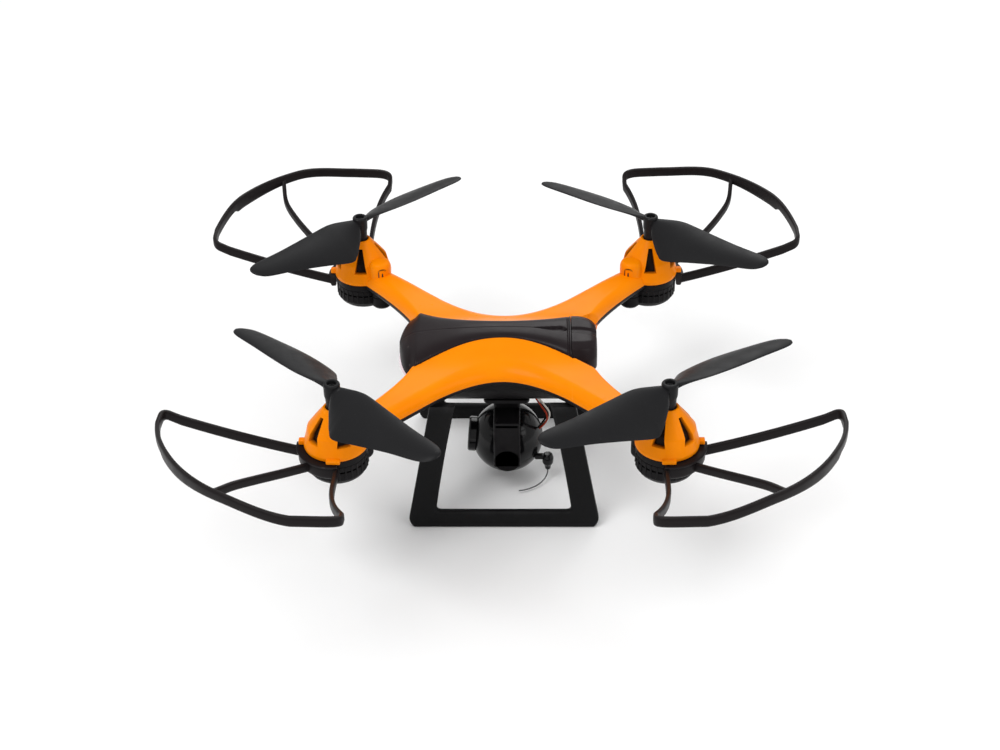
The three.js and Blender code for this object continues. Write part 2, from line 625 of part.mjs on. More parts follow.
// ---- Camera ----
function makeCameraMount() {
  const { x0, x1, inner, outer } = YOKE;
  const mid = (x0 + x1) / 2;
  const plate = box(mid - 12, mid + 12, -17, 17, 55.2, BELLY_Z - GAP);
  const neck = box(x0, x1, -8, 8, 45, 56);
  const cross = box(x0, x1, -outer, outer, 43, 46.4);
  const arms = [1, -1].map((side) => {
    const y0 = side > 0 ? inner : -outer;
    const y1 = side > 0 ? outer : -inner;
    const tip = solid(new THREE.CylinderGeometry(7, 7, outer - inner, 20)
      .translate(BALL.x, (y0 + y1) / 2, BALL.z));
    const pin = solid(new THREE.CylinderGeometry(2, 2, 4, 12)
      .translate(BALL.x, side * (inner - 1.5), BALL.z));
    return join(box(x0, x1, y0, y1, BALL.z, 45), tip, pin);
  });
  return join(plate, neck, cross, ...arms);
}

// Sphere about the camera pivot, cut to a half with x above or below the seam.
function cameraShell(side) {
  const sphere = (r) => solid(new THREE.SphereGeometry(r, 18, 10).rotateX(Math.PI / 2));
  const keep = side > 0 ? box(0.15, 40, -40, 40, -40, 40) : box(-40, -0.15, -40, 40, -40, 40);
  const pinHole = solid(new THREE.CylinderGeometry(2.35, 2.35, 60, 12));
  return cut(sphere(BALL.r).subtract(sphere(BALL.r - WALL)).intersect(keep), pinHole);
}

function atBall(body) {
  return body.rotate([0, -CAMERA_REST, 0]).translate([BALL.x, 0, BALL.z]);
}

const CAMERA_REST = 5; // degrees the lens looks up at rest

function alongX(profile, sides = 14) {
  return turned(profile, 0, 0, sides).rotate([0, 90, 0]);
}

function makeCamera() {
  const front = cut(cameraShell(1), alongX([[0, 10], [7.6, 10], [7.6, 30], [0, 30]]));
  const rear = cut(cameraShell(-1), box(-30, -10, 2, 10, -6, 2));
  const flats = [box(-40, 40, 18.2, 40, -40, 40), box(-40, 40, -40, -18.2, -40, 40)];
  piece('camera_front_shell', atBall(cut(front, ...flats)), BLACK);
  piece('camera_rear_shell', atBall(cut(rear, ...flats)), BLACK);
  const ring = cut(
    join(alongX([[0, 17.9], [9.4, 17.9], [9.4, 20.4], [8.7, 21.2], [0, 21.2]]), alongX([[0, 9], [7.2, 9], [7.2, 18], [0, 18]])),
    alongX([[0, 8], [5.2, 8], [5.2, 19.2], [6.6, 19.2], [7.6, 22], [0, 22]]));
  piece('lens_ring', atBall(cut(ring, solid(new THREE.SphereGeometry(BALL.r + 0.3, 20, 12)
    .rotateX(Math.PI / 2)).subtract(alongX([[0, 0], [7.4, 0], [7.4, 30], [0, 30]])))), BLACK);
  piece('lens_glass', atBall(alongX([[0, 16.5], [4.9, 16.5], [4.9, 17.4], [3, 18.5], [0, 18.9]])), GLASS);
  piece('camera_board', atBall(box(4, 5.6, -12, 12, -9, 9)), GREEN);
}

// Moulded sleeve on the back of the camera that the antenna wire comes out of.
const BOOT = { x: -23.2, y: 10, z0: 7.6, z1: 18 };

function makeBoot() {
  const sleeve = turned([
    [0, BOOT.z0], [1.5, BOOT.z0], [1.8, 10.4], [3, 12], [3.2, 15.4], [2.2, BOOT.z1], [0, BOOT.z1]],
  BOOT.x, BOOT.y, 14);
  const stem = box(BOOT.x, -16, 8.4, 11.6, 15, 18);
  const ball = solid(new THREE.SphereGeometry(BALL.r + GAP, 20, 12).rotateX(Math.PI / 2)
    .translate(BALL.x, 0, BALL.z));
  return cut(join(sleeve, stem), ball);
}

// Route of the antenna wire's free stretch, from the sleeve's mouth to its bare end.
const WHIP_ROUTE = [
  [-23.2, 10, 7.3], [-23, 10.8, 5.4], [-22.2, 12.4, 3.9], [-20.8, 14.4, 3], [-18.8, 16.6, 2.4],
  [-16.4, 18.6, 2.1], [-13.6, 20.3, 2], [-10.6, 21.6, 2], [-7.6, 22.4, 2.1]];
const WHIP_D = 0.7;

// Route of the camera's lead, from its plug on the belly to the back of the ball.
const LEAD_ROUTE = [
  [-17, 6, 54.6], [-17.2, 6.1, 52.6], [-20.2, 7, 48], [-22.6, 7.2, 43.5], [-22.8, 6.6, 39], [-21, 5.7, 35],
  [-19.2, 5.4, 32.2]];
const LEAD_D = 3;

function tube(route, diameter, sides, steps) {
  const curve = new THREE.CatmullRomCurve3(route.map((p) => new THREE.Vector3(...p)));
  const outline = new THREE.Shape();
  for (let k = 0; k < sides; k += 1) {
    const a = 2 * Math.PI * k / sides;
    const p = [diameter / 2 * Math.cos(a), diameter / 2 * Math.sin(a)];
    if (k === 0) outline.moveTo(...p);
    else outline.lineTo(...p);
  }
  return solid(new THREE.ExtrudeGeometry(outline, { steps, extrudePath: curve, bevelEnabled: false }));
}

// ---- Battery, electronics and switch ----
function makeBatteryCap() {
  const rings = [[BATTERY.x0, 1], [-40, 0.99], [-45, 0.9], [-47.4, 0.8], [TAIL_X, 0.62]].map(([x, s]) => {
    const w = 18.8 * s;
    const top = 90.6 - 9 * (1 - s);
    const low = 71.4 + 9 * (1 - s);
    return [
      [x, w, 76], [x, w, 83], [x, w - 3, top - 1.6], [x, w - 8, top], [x, -w + 8, top], [x, -w + 3, top - 1.6],
      [x, -w, 83], [x, -w, 76], [x, -w + 6, low], [x, w - 6, low]];
  });
  return loft(rings);
}

function makeMainBoard() {
  const board = box(-8, 36, -14, 14, 61, 62.6);
  const parts = [box(4, 14, -5, 5, 62, 64.2), box(20, 27, -4, 4, 62, 63.8), box(-6, -1, -8, 8, 62, 66)];
  return join(board, ...parts);
}

// ---- Assembly ----
piece('top_shell', makeTopShell(), ORANGE);
piece('bottom_shell', makeBottomShell(), BLACK);
piece('canopy', makeCanopy(), CHARCOAL);
piece('battery_cap', makeBatteryCap(), CHARCOAL);
piece('battery_pack', box(BATTERY.x0 + GAP, BATTERY.x1, -BATTERY.halfWidth, BATTERY.halfWidth, BATTERY.z0, BATTERY.z1), FOIL);
piece('main_board', makeMainBoard(), GREEN);
piece('power_switch', join(
  box(-32.6, -29.4, -1.3, 1.3, BELLY_Z - 1.2, BELLY_Z + 2), box(-32, -28.4, -2.6, 2.6, BELLY_Z + 1.9, 61.4)), BLACK);
piece('headlight_left', makeHeadlight(1), CLEAR);
piece('headlight_right', makeHeadlight(-1), CLEAR);
piece('landing_skid_left', makeSkid(1), BLACK);
piece('landing_skid_right', makeSkid(-1), BLACK);
piece('camera_mount', makeCameraMount(), BLACK);
makeCamera();
piece('antenna_boot', makeBoot(), BLACK);
piece('antenna_whip', tube(WHIP_ROUTE, WHIP_D, 8, 14), STEEL);
piece('camera_plug', box(-20.2, -14, 3.4, 8.6, 54.9, 60), NYLON);
piece('camera_lead', tube(LEAD_ROUTE, LEAD_D, 8, 8), WIRE);
for (const corner of CORNERS) {
  piece('gear_cover_' + corner.name, makeGearCover(corner), BLACK);
  piece('guard_' + corner.name, makeGuard(corner), BLACK);
  piece('propeller_' + corner.name, makePropeller(corner), CHARCOAL);
  piece('prop_screw_' + corner.name, makePropScrew(podAxis(corner)), STEEL);
  piece('rotor_shaft_' + corner.name, makeShaft(podAxis(corner)), STEEL);
  piece('main_gear_' + corner.name, makeMainGear(corner), NYLON);
  piece('pinion_' + corner.name, makePinion(corner), BRASS);
  piece('motor_' + corner.name, makeMotor(corner), STEEL);
  piece('shaft_bush_' + corner.name, makeBush(podAxis(corner)), BRASS);
}

export default drone;
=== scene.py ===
# %% [markdown]
# # A toy racing quadcopter
# The frame comes from CAD: every solid, its place and its joints. This notebook dresses that frame
# with fine surfaces and finishes. Everything is in metres, nose along +X, port side along +Y.
# We write the shapes in millimetres, because the real moulds are drawn that way, and scale at the end.

# %% Load the frame
import math

import bmesh
import bpy
import numpy as np
from mathutils import Matrix, Vector


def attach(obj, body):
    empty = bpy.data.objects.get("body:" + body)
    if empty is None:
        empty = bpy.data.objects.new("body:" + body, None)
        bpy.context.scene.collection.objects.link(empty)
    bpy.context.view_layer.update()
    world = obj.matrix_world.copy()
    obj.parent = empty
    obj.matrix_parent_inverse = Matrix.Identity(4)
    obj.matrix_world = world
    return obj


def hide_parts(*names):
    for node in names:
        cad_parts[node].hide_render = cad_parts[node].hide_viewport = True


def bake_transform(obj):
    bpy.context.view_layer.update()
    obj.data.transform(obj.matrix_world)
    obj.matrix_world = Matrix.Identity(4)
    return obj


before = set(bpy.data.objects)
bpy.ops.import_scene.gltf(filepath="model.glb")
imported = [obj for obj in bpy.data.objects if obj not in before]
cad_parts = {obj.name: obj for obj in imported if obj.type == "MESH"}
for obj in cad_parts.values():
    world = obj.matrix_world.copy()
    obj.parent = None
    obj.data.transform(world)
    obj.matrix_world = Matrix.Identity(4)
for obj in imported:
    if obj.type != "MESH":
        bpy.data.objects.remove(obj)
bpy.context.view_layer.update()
MM = 0.001

# %% [markdown]
# ## Camera
# The viewpoint is on the port side, above the object. A camera looks along its own -Z, so its matrix
# is built from three directions: right, up and backwards.

# %% Camera
EYE = Vector((-0.01612, 0.73579, 0.5706))
LOOK = Vector((0.02039, -0.82251, -0.5684)).normalized()
UP_HINT = Vector((-0.00144, -0.56854, 0.82266))


def camera_matrix(eye, look, up_hint):
    """Columns are right = look x up, up = right x look, back = -look, then the place."""
    right = look.cross(up_hint).normalized()
    up = right.cross(look)
    turn = Matrix((right, up, -look)).transposed()
    return Matrix.Translation(eye) @ turn.to_4x4()


lens_data = bpy.data.cameras.new("viewpoint")
lens_data.lens = 61.0
lens_data.sensor_width = 36.0
viewpoint = bpy.data.objects.new("viewpoint", lens_data)
bpy.context.scene.collection.objects.link(viewpoint)
viewpoint.matrix_world = camera_matrix(EYE, LOOK, UP_HINT)
bpy.context.scene.camera = viewpoint

# %% [markdown]
# ## Surfaces from arrays
# A moulded surface is a stack of rings. Each ring is a row of points, and neighbouring rows are joined
# by quads. Numpy works out all the points at once, so a fine surface costs no more code than a coarse one.


# %% Skins: a stack of rings becomes vertices and faces
def skin(rings, wrap=True, caps=True):
    """Joins point (i, j) of a stack of rings to (i, j+1), (i+1, j+1) and (i+1, j); caps fan to a middle point."""
    rings = np.asarray(rings, float)
    n, m = rings.shape[:2]
    i = np.arange(n - 1)[:, None]
    j = np.arange(m if wrap else m - 1)[None, :]
    k = (j + 1) % m
    corners = np.broadcast_arrays(i * m + j, i * m + k, (i + 1) * m + k, (i + 1) * m + j)
    quads = np.stack(corners, axis=-1).reshape(-1, 4)
    points = rings.reshape(-1, 3)
    fans = np.empty((0, 3), int)
    if caps:
        points = np.vstack([points, rings[0].mean(0), rings[-1].mean(0)])
        here = np.arange(m)
        after = (here + 1) % m
        last = (n - 1) * m
        near = np.stack([np.full(m, n * m), after, here], 1)
        far = np.stack([np.full(m, n * m + 1), last + here, last + after], 1)
        fans = np.vstack([near, far])
    return points, quads, fans


def mirrored(part, axis):
    """The same skin with one coordinate's sign changed; the normals are set right when the piece is made."""
    points, quads, fans = part
    flip = np.ones(3)
    flip[axis] = -1
    return points * flip, quads, fans


def moved(part, matrix=None, offset=(0, 0, 0)):
    """Points times a 3x3 matrix, then shifted."""
    points, quads, fans = part
    turn = np.eye(3) if matrix is None else np.asarray(matrix)
    return points @ turn.T + np.asarray(offset, float), quads, fans


# %% Pieces: skins become one named object that rides on a CAD body
def make_piece(name, parts, body, finish, stands_for=(), crease=38, recess=None):
    """Joins skins into one mesh, merges doubled points, turns faces outwards and smooths all but sharp edges."""
    start, faces = 0, []
    for points, quads, fans in parts:
        faces += (quads + start).tolist() + (fans + start).tolist()
        start += len(points)
    mesh = bpy.data.meshes.new(name)
    mesh.from_pydata((np.vstack([p[0] for p in parts]) * MM).tolist(), [], faces)
    if recess is not None:
        mesh.attributes.new("recess", "FLOAT", "POINT").data.foreach_set("value", recess.astype(np.float32))
    work = bmesh.new()
    work.from_mesh(mesh)
    bmesh.ops.remove_doubles(work, verts=work.verts, dist=2e-7)
    bmesh.ops.recalc_face_normals(work, faces=work.faces)
    work.to_mesh(mesh)
    work.free()
    mesh.shade_smooth()
    mesh.set_sharp_from_angle(angle=math.radians(crease))
    mesh.materials.append(finish)
    piece = bpy.data.objects.new(name, mesh)
    bpy.context.scene.collection.objects.link(piece)
    if body:
        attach(piece, body)
    if stands_for:
        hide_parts(*stands_for)
    print(f"{name}: {len(mesh.polygons)} faces")
    return piece


# %% Profiles and paths
def round_corners(points, radius, steps=6):
    """Each inner corner becomes a quadratic curve that leaves both sides at the given distance."""
    p = np.array(points, float)
    before, here, after = p[:-2], p[1:-1], p[2:]

    def pulled(other):
        way = other - here
        length = np.linalg.norm(way, axis=1, keepdims=True)
        return here + way / np.maximum(length, 1e-9) * np.minimum(radius, 0.45 * length)

    a, b = pulled(before), pulled(after)
    t = np.linspace(0, 1, steps)[None, :, None]
    arcs = (1 - t) ** 2 * a[:, None] + 2 * t * (1 - t) * here[:, None] + t**2 * b[:, None]
    return np.vstack([p[:1], arcs.reshape(-1, p.shape[1]), p[-1:]])


def smooth_path(points, count):
    """A Catmull-Rom curve: cubic pieces that pass through every point."""
    p = np.array(points, float)
    p = np.vstack([2 * p[0] - p[1], p, 2 * p[-1] - p[-2]])
    t = np.linspace(0, len(p) - 3, count)
    i = np.minimum(t.astype(int), len(p) - 4)
    f = (t - i)[:, None]
    a, b, c, d = p[i], p[i + 1], p[i + 2], p[i + 3]
    return 0.5 * (2 * b + (c - a) * f + (2 * a - 5 * b + 4 * c - d) * f**2 + (3 * b - a - 3 * c + d) * f**3)


def turn(profile, x=0.0, y=0.0, segments=96):
    """Lathe: a profile of (radius, height) pairs, each turned into a ring radius * (cos, sin) about (x, y)."""
    r, z = np.array(profile, float).T
    a = np.linspace(0, 2 * np.pi, segments, endpoint=False)
    rings = np.stack(np.broadcast_arrays(x + r[:, None] * np.cos(a), y + r[:, None] * np.sin(a), z[:, None]), -1)
    return skin(rings, caps=False)


def rounded_ring(half_x, half_y, radius, steps=6):
    """A rectangle with quarter-circle corners, anticlockwise."""
    a = np.radians(np.arange(4)[:, None] * 90 + np.linspace(0, 90, steps)[None])
    sx = np.array([1, -1, -1, 1])[:, None]
    sy = np.array([1, 1, -1, -1])[:, None]
    x = sx * (half_x - radius) + radius * np.cos(a)
    y = sy * (half_y - radius) + radius * np.sin(a)
    return np.stack([x.ravel(), y.ravel()], 1)


def block(x0, x1, y0, y1, z0, z1, edge=0.5, corner=None):
    """A moulded block: rounded rectangles stacked upwards, drawn in by a quarter circle at both ends."""
    corner = edge if corner is None else corner
    a = np.linspace(0, np.pi / 2, 5)
    inset = edge * (1 - np.sin(a))
    height = edge * (1 - np.cos(a))
    levels = list(zip(z0 + height, inset)) + list(zip(z1 - height[::-1], inset[::-1]))
    rings = []
    for z, d in levels:
        ring = rounded_ring((x1 - x0) / 2 - d, (y1 - y0) / 2 - d, max(corner - d, 0.02))
        rings.append(np.column_stack([ring[:, 0] + (x0 + x1) / 2, ring[:, 1] + (y0 + y1) / 2, np.full(len(ring), z)]))
    return skin(rings)


def sweep(path, section, up=(0, 0, 1)):
    """Carries a flat section (across, upwards) along a path; across is level, at right angles to the path."""
    path = np.asarray(path, float)
    section = np.asarray(section, float)
    along = np.gradient(path, axis=0)
    along /= np.linalg.norm(along, axis=1, keepdims=True)
    side = np.cross(np.asarray(up, float), along)
    side /= np.linalg.norm(side, axis=1, keepdims=True)
    lift = np.cross(along, side)
    rings = path[:, None] + side[:, None] * section[None, :, :1] + lift[:, None] * section[None, :, 1:]
    return skin(rings)


def circle(radius, points=14):
    a = np.linspace(0, 2 * np.pi, points, endpoint=False)
    return np.stack([radius * np.cos(a), radius * np.sin(a)], 1)


# %% [markdown]
# ## Finishes
# Injection-moulded plastic is never one flat colour. It has a fine grain from the tool, soft cloudy
# differences in gloss from handling, and edges that have been rubbed paler. We make those once, as a
# node group, and place it in every plastic with its own numbers.


# %% The shared group: moulded grain, handling marks, rubbed edges and painted shade in hollows
def moulded_group():
    """Outputs colour, roughness and height. Edges and the painted shade in hollows come from Pointiness, clouds and
    grain from noise.
    """
    group = bpy.data.node_groups.new("moulded surface", "ShaderNodeTree")
    put = group.interface.new_socket
    for name, kind, value in (
        ("Colour", "NodeSocketColor", (0.5, 0.5, 0.5, 1)),
        ("Rubbed colour", "NodeSocketColor", (0.7, 0.7, 0.7, 1)),
        ("Shade and cloud colour", "NodeSocketColor", (0.1, 0.1, 0.1, 1)),
        ("Edge wear", "NodeSocketFloat", 0.3),
        ("Roughness low", "NodeSocketFloat", 0.3),
        ("Roughness high", "NodeSocketFloat", 0.5),
        ("Grain size", "NodeSocketFloat", 3000.0),
        ("Dust", "NodeSocketFloat", 0.05),
    ):
        socket = put(name=name, in_out="INPUT", socket_type=kind)
        socket.default_value = value
    for name, kind in (("Colour", "NodeSocketColor"), ("Roughness", "NodeSocketFloat"), ("Height", "NodeSocketFloat")):
        put(name=name, in_out="OUTPUT", socket_type=kind)
    nodes, link = group.nodes, group.links.new
    given = nodes.new("NodeGroupInput")
    result = nodes.new("NodeGroupOutput")
    place = nodes.new("ShaderNodeTexCoord")

    def noise(scale, detail):
        n = nodes.new("ShaderNodeTexNoise")
        n.inputs["Scale"].default_value = scale
        n.inputs["Detail"].default_value = detail
        link(place.outputs["Object"], n.inputs["Vector"])
        return n

    def maths(kind, a, b):
        n = nodes.new("ShaderNodeMath")
        n.operation = kind
        for socket, value in zip(n.inputs, (a, b)):
            if isinstance(value, (int, float)):
                socket.default_value = value
            else:
                link(value, socket)
        return n.outputs[0]

    def blend(share, a, b):
        n = nodes.new("ShaderNodeMix")
        n.data_type = "RGBA"
        link(share, n.inputs[0])
        link(a, n.inputs[6])
        link(b, n.inputs[7])
        return n.outputs[2]

    def between(value, low, high, to_low=0.0, to_high=1.0):
        n = nodes.new("ShaderNodeMapRange")
        link(value, n.inputs["Value"])
        n.inputs["From Min"].default_value = low
        n.inputs["From Max"].default_value = high
        for key, end in (("To Min", to_low), ("To Max", to_high)):
            if isinstance(end, (int, float)):
                n.inputs[key].default_value = end
            else:
                link(end, n.inputs[key])
        return n.outputs[0]

    shape = nodes.new("ShaderNodeNewGeometry")
    clouds = noise(45, 3).outputs["Fac"]
    smears = noise(160, 4).outputs["Fac"]
    grain = noise(1, 2)
    link(given.outputs["Grain size"], grain.inputs["Scale"])
    rubbed = between(shape.outputs["Pointiness"], 0.52, 0.6)
    # painted shade: hollows (low Pointiness) are darkened half way towards the deep colour
    hollow_shade = between(shape.outputs["Pointiness"], 0.48, 0.42)
    rubbed = maths("MULTIPLY", maths("MULTIPLY", rubbed, given.outputs["Edge wear"]), between(smears, 0.3, 0.65))
    hollow_shade = maths("MULTIPLY", hollow_shade, 0.5)
    hollow_shaded = blend(hollow_shade, given.outputs["Colour"], given.outputs["Shade and cloud colour"])
    clouded = blend(maths("MULTIPLY", between(clouds, 0.45, 0.75), 0.16), hollow_shaded, given.outputs["Shade and cloud colour"])
    worn = blend(rubbed, clouded, given.outputs["Rubbed colour"])
    specks = maths("MULTIPLY", between(noise(900, 2).outputs["Fac"], 0.66, 0.74), given.outputs["Dust"])
    dusty = blend(specks, worn, given.outputs["Rubbed colour"])
    link(dusty, result.inputs["Colour"])
    rough = between(smears, 0.25, 0.75, given.outputs["Roughness low"], given.outputs["Roughness high"])
    link(maths("ADD", rough, maths("MULTIPLY", rubbed, 0.12)), result.inputs["Roughness"])
    link(grain.outputs["Fac"], result.inputs["Height"])
    return group


MOULDED = moulded_group()


# %% A moulded plastic made from the group
def plastic(name, colour, rubbed, deep, rough, grain=3200.0, depth=0.04, wear=0.3, dust=0.05, coat=0.0, gloss=0.1,
            mark=False):
    """A Principled shader fed by the shared group; depth is the grain's height in mm, gloss the specular level."""
    finish = bpy.data.materials.new(name)
    finish.use_nodes = True
    nodes, link = finish.node_tree.nodes, finish.node_tree.links.new
    shader = nodes["Principled BSDF"]
    surface = nodes.new("ShaderNodeGroup")
    surface.node_tree = MOULDED
    # the deep tone serves twice: painted shade in hollows, and the random cloudy tone of the moulding
    for key, value in (("Colour", colour), ("Rubbed colour", rubbed), ("Shade and cloud colour", deep)):
        surface.inputs[key].default_value = (*value, 1)
    surface.inputs["Edge wear"].default_value = wear
    surface.inputs["Roughness low"].default_value = rough[0]
    surface.inputs["Roughness high"].default_value = rough[1]
    surface.inputs["Grain size"].default_value = grain
    surface.inputs["Dust"].default_value = dust
    colour_out = surface.outputs["Colour"]
    if mark:  # recessed slots fall into shadow inside the moulding
        recess = nodes.new("ShaderNodeAttribute")
        recess.attribute_name = "recess"
        darken = nodes.new("ShaderNodeMix")
        darken.data_type = "RGBA"
        link(recess.outputs["Fac"], darken.inputs[0])
        link(colour_out, darken.inputs[6])
        darken.inputs[7].default_value = (0.012, 0.006, 0.004, 1)
        colour_out = darken.outputs[2]
    bump = nodes.new("ShaderNodeBump")
    bump.inputs["Strength"].default_value = 0.5
    bump.inputs["Distance"].default_value = depth * MM
    link(colour_out, shader.inputs["Base Color"])
    link(surface.outputs["Roughness"], shader.inputs["Roughness"])
    link(surface.outputs["Height"], bump.inputs["Height"])
    link(bump.outputs["Normal"], shader.inputs["Normal"])
    shader.inputs["Specular IOR Level"].default_value = gloss
    shader.inputs["Coat Weight"].default_value = coat
    shader.inputs["Coat Roughness"].default_value = 0.12
    return finish


ORANGE_TONES = (0.93, 0.25, 0.0002), (1.0, 0.36, 0.03), (0.8, 0.12, 0.0002)
ORANGE = plastic("glossy orange ABS", *ORANGE_TONES, (0.26, 0.38), 2600, 0.02, 0.3, 0.02, 0.03, 0.05)
ORANGE_VENTED = plastic("glossy orange ABS with vents", *ORANGE_TONES, (0.26, 0.38), 2600, 0.02, 0.3, 0.02, 0.03, 0.05,
                        mark=True)
BODY_BLACK = plastic("satin black moulding", (0.006, 0.0052, 0.0058), (0.05, 0.048, 0.05), (0.004, 0.004, 0.004),
                     (0.34, 0.5), 3000, 0.04, 0.5, 0.08)
CANOPY_DARK = plastic("charcoal canopy", (0.012, 0.0078, 0.009), (0.08, 0.068, 0.07), (0.006, 0.005, 0.005),
                      (0.3, 0.44), 3400, 0.04, 0.45, 0.05, 0.05)
GUARD_BLACK = plastic("guard black", (0.0095, 0.0075, 0.008), (0.07, 0.06, 0.06), (0.006, 0.005, 0.005),
                      (0.3, 0.46), 3000, 0.04, 0.5, 0.06)
PROP_DARK = plastic("propeller charcoal", (0.0115, 0.0115, 0.0125), (0.08, 0.08, 0.08), (0.008, 0.008, 0.008),
                    (0.34, 0.48), 2400, 0.05, 0.4, 0.06)
SKID_BLACK = plastic("skid matt black", (0.0045, 0.0045, 0.0048), (0.045, 0.045, 0.047), (0.003, 0.003, 0.003),
                     (0.36, 0.55), 2200, 0.07, 0.6, 0.1)
GLOSS_BLACK = plastic("polished black", (0.004, 0.004, 0.0045), (0.03, 0.03, 0.032), (0.002, 0.002, 0.002),
                      (0.1, 0.2), 1800, 0.01, 0.2, 0.05, 0.08, 0.2)
SLEEVE_GREY = plastic("antenna sleeve", (0.1, 0.1, 0.105), (0.2, 0.2, 0.21), (0.05, 0.05, 0.05),
                      (0.4, 0.55), 2500, 0.03, 0.2, 0.05)
NYLON = plastic("natural nylon", (0.7, 0.66, 0.58), (0.82, 0.8, 0.75), (0.45, 0.4, 0.32),
                (0.35, 0.5), 2500, 0.03, 0.2, 0.05)
LAMP = plastic("pale lamp moulding", (0.8, 0.66, 0.72), (0.95, 0.9, 0.92), (0.6, 0.48, 0.54),
               (0.12, 0.22), 1500, 0.01, 0.2, 0.02, 0.5, 0.5)
BOARD_GREEN = plastic("solder mask", (0.01, 0.09, 0.03), (0.3, 0.32, 0.2), (0.005, 0.04, 0.015),
                      (0.25, 0.4), 1200, 0.05, 0.3, 0.05)
WRAP_BLUE = plastic("battery wrap", (0.02, 0.065, 0.19), (0.15, 0.22, 0.36), (0.008, 0.025, 0.08),
                    (0.2, 0.35), 900, 0.05, 0.2, 0.03)
WIRE_FINISHES = {
    "red": plastic("red-brown wire", (0.32, 0.03, 0.01), (0.5, 0.14, 0.07), (0.15, 0.015, 0.006),
                   (0.3, 0.45), 3000, 0.03, 0.1, 0.03),
    "white": plastic("white wire", (0.6, 0.57, 0.52), (0.8, 0.78, 0.75), (0.4, 0.36, 0.32),
                     (0.3, 0.45), 3000, 0.03, 0.1, 0.03),
    "black": plastic("black wire", (0.008, 0.008, 0.008), (0.05, 0.05, 0.05), (0.004, 0.004, 0.004),
                     (0.3, 0.45), 3000, 0.03, 0.1, 0.03)}


# %% [markdown]
# Metal screws, shafts and bushes are turned, so their fine lines run round the axis. A stretched noise
# gives that brushing. The lens is a dark coated glass: nearly black, with a violet tint at grazing angles.


# %% Metals and the lens
def turned_metal(name, colour, rough):
    """Roughness and bump follow a noise squeezed along Z, so that it draws fine rings."""
    finish = bpy.data.materials.new(name)
    finish.use_nodes = True
    nodes, link = finish.node_tree.nodes, finish.node_tree.links.new
    shader = nodes["Principled BSDF"]
    shader.inputs["Base Color"].default_value = (*colour, 1)
    shader.inputs["Metallic"].default_value = 1.0
    place = nodes.new("ShaderNodeTexCoord")
    squeeze = nodes.new("ShaderNodeMapping")
    squeeze.inputs["Scale"].default_value = (200, 200, 9000)
    rings = nodes.new("ShaderNodeTexNoise")
    rings.inputs["Scale"].default_value = 1.0
    spread = nodes.new("ShaderNodeMapRange")
    spread.inputs["To Min"].default_value = rough[0]
    spread.inputs["To Max"].default_value = rough[1]
    bump = nodes.new("ShaderNodeBump")
    bump.inputs["Distance"].default_value = 0.00002
    link(place.outputs["Object"], squeeze.inputs["Vector"])
    link(squeeze.outputs["Vector"], rings.inputs["Vector"])
    link(rings.outputs["Fac"], spread.inputs["Value"])
    link(spread.outputs[0], shader.inputs["Roughness"])
    link(rings.outputs["Fac"], bump.inputs["Height"])
    link(bump.outputs["Normal"], shader.inputs["Normal"])
    return finish


def coated_glass(name):
    """Dark glass seen against a black barrel: an opaque deep blue-black with a strong clear coat and faint smears."""
    finish = plastic(name, (0.006, 0.007, 0.016), (0.05, 0.04, 0.09), (0.002, 0.002, 0.006),
                     (0.03, 0.08), 900, 0.002, 0.1, 0.02, 1.0)
    finish.node_tree.nodes["Principled BSDF"].inputs["Coat Roughness"].default_value = 0.02
    return finish


STEEL = turned_metal("turned steel", (0.52, 0.52, 0.54), (0.22, 0.42))
BLACKENED = turned_metal("blackened screw", (0.03, 0.03, 0.032), (0.35, 0.5))
BRASS = turned_metal("turned brass", (0.75, 0.5, 0.18), (0.22, 0.4))
LENS_GLASS = coated_glass("coated lens")

# %% [markdown]
# ## The upper shell
# In plan the shell is an X with a wide waist. One curve gives the waist, another the inside of each arm.
# The height above the parting line depends on the distance to the nearest edge: a quarter circle at the
# rim that levels off inside, with a low ridge along the middle. Working it out on a fine grid keeps the
# long highlights on the glossy orange smooth.

# %% Plan curves and crown height
SPLIT = 77.4
ROTOR = 80.0
CORNERS = {"front_left": (1, 1), "rear_left": (-1, 1), "front_right": (1, -1), "rear_right": (-1, -1)}


def waist_width(x):
    """Half-width at distance x: a parabola 28.3 + 16.7 t^2 up to x = 34, then a straight slope."""
    x = np.abs(x)
    t = (-30 + np.sqrt(900 + 16 * x)) / 8
    return np.where(x >= 34, 45 + 0.98 * (x - 34), 28.3 + 16.7 * t**2)


def arm_inside(t):
    """Quadratic curve from the nose corner to the inside of the pod."""
    a, b, c = np.array([[45.0, 15.0], [49.0, 34.0], [79.4, 67.6]])
    t = t[:, None]
    return (1 - t) ** 2 * a + 2 * t * (1 - t) * b + t**2 * c


def crown(x, y, d):
    ridge = 6 + 8.5 * (1 - 0.25 * (x / 45) ** 2) * np.exp(-((y / 16) ** 2))
    q = np.clip(d / 9, 0, 1)
    return ridge * np.sqrt(1 - (1 - q) ** 2)


NOSE_X = 54.2


NOSE_START = 45.0


def canopy_half(x):
    """Half-width of the canopy: narrow at the middle, a power of the distance each way, then a rounded nose."""
    def body(x):
        ahead = 7.6 + 15 * (np.maximum(x, 0) / 42) ** 2.1
        behind = 7.6 + 13.4 * (np.maximum(-1.08 * x, 0) / 42) ** 1.9
        return np.where(x > 0, ahead, behind)
    t = np.clip((x - NOSE_START) / (NOSE_X - NOSE_START), 0, 1)
    return body(np.minimum(x, NOSE_START)) * np.sqrt(np.maximum(1 - t**2.6, 0.0))


def step(value, low, high):
    """Smooth step: 0 below low, 1 above high, 3t^2 - 2t^3 between."""
    t = np.clip((value - low) / (high - low), 0, 1)
    return t * t * (3 - 2 * t)


def shell_height(x, y, d):
    """The crown, sunk under the canopy lid so that the lid lies over it with a step."""
    return crown(np.abs(x), y, d) - 5 * step(canopy_half(x) - np.abs(y), 0.7, 1.7)


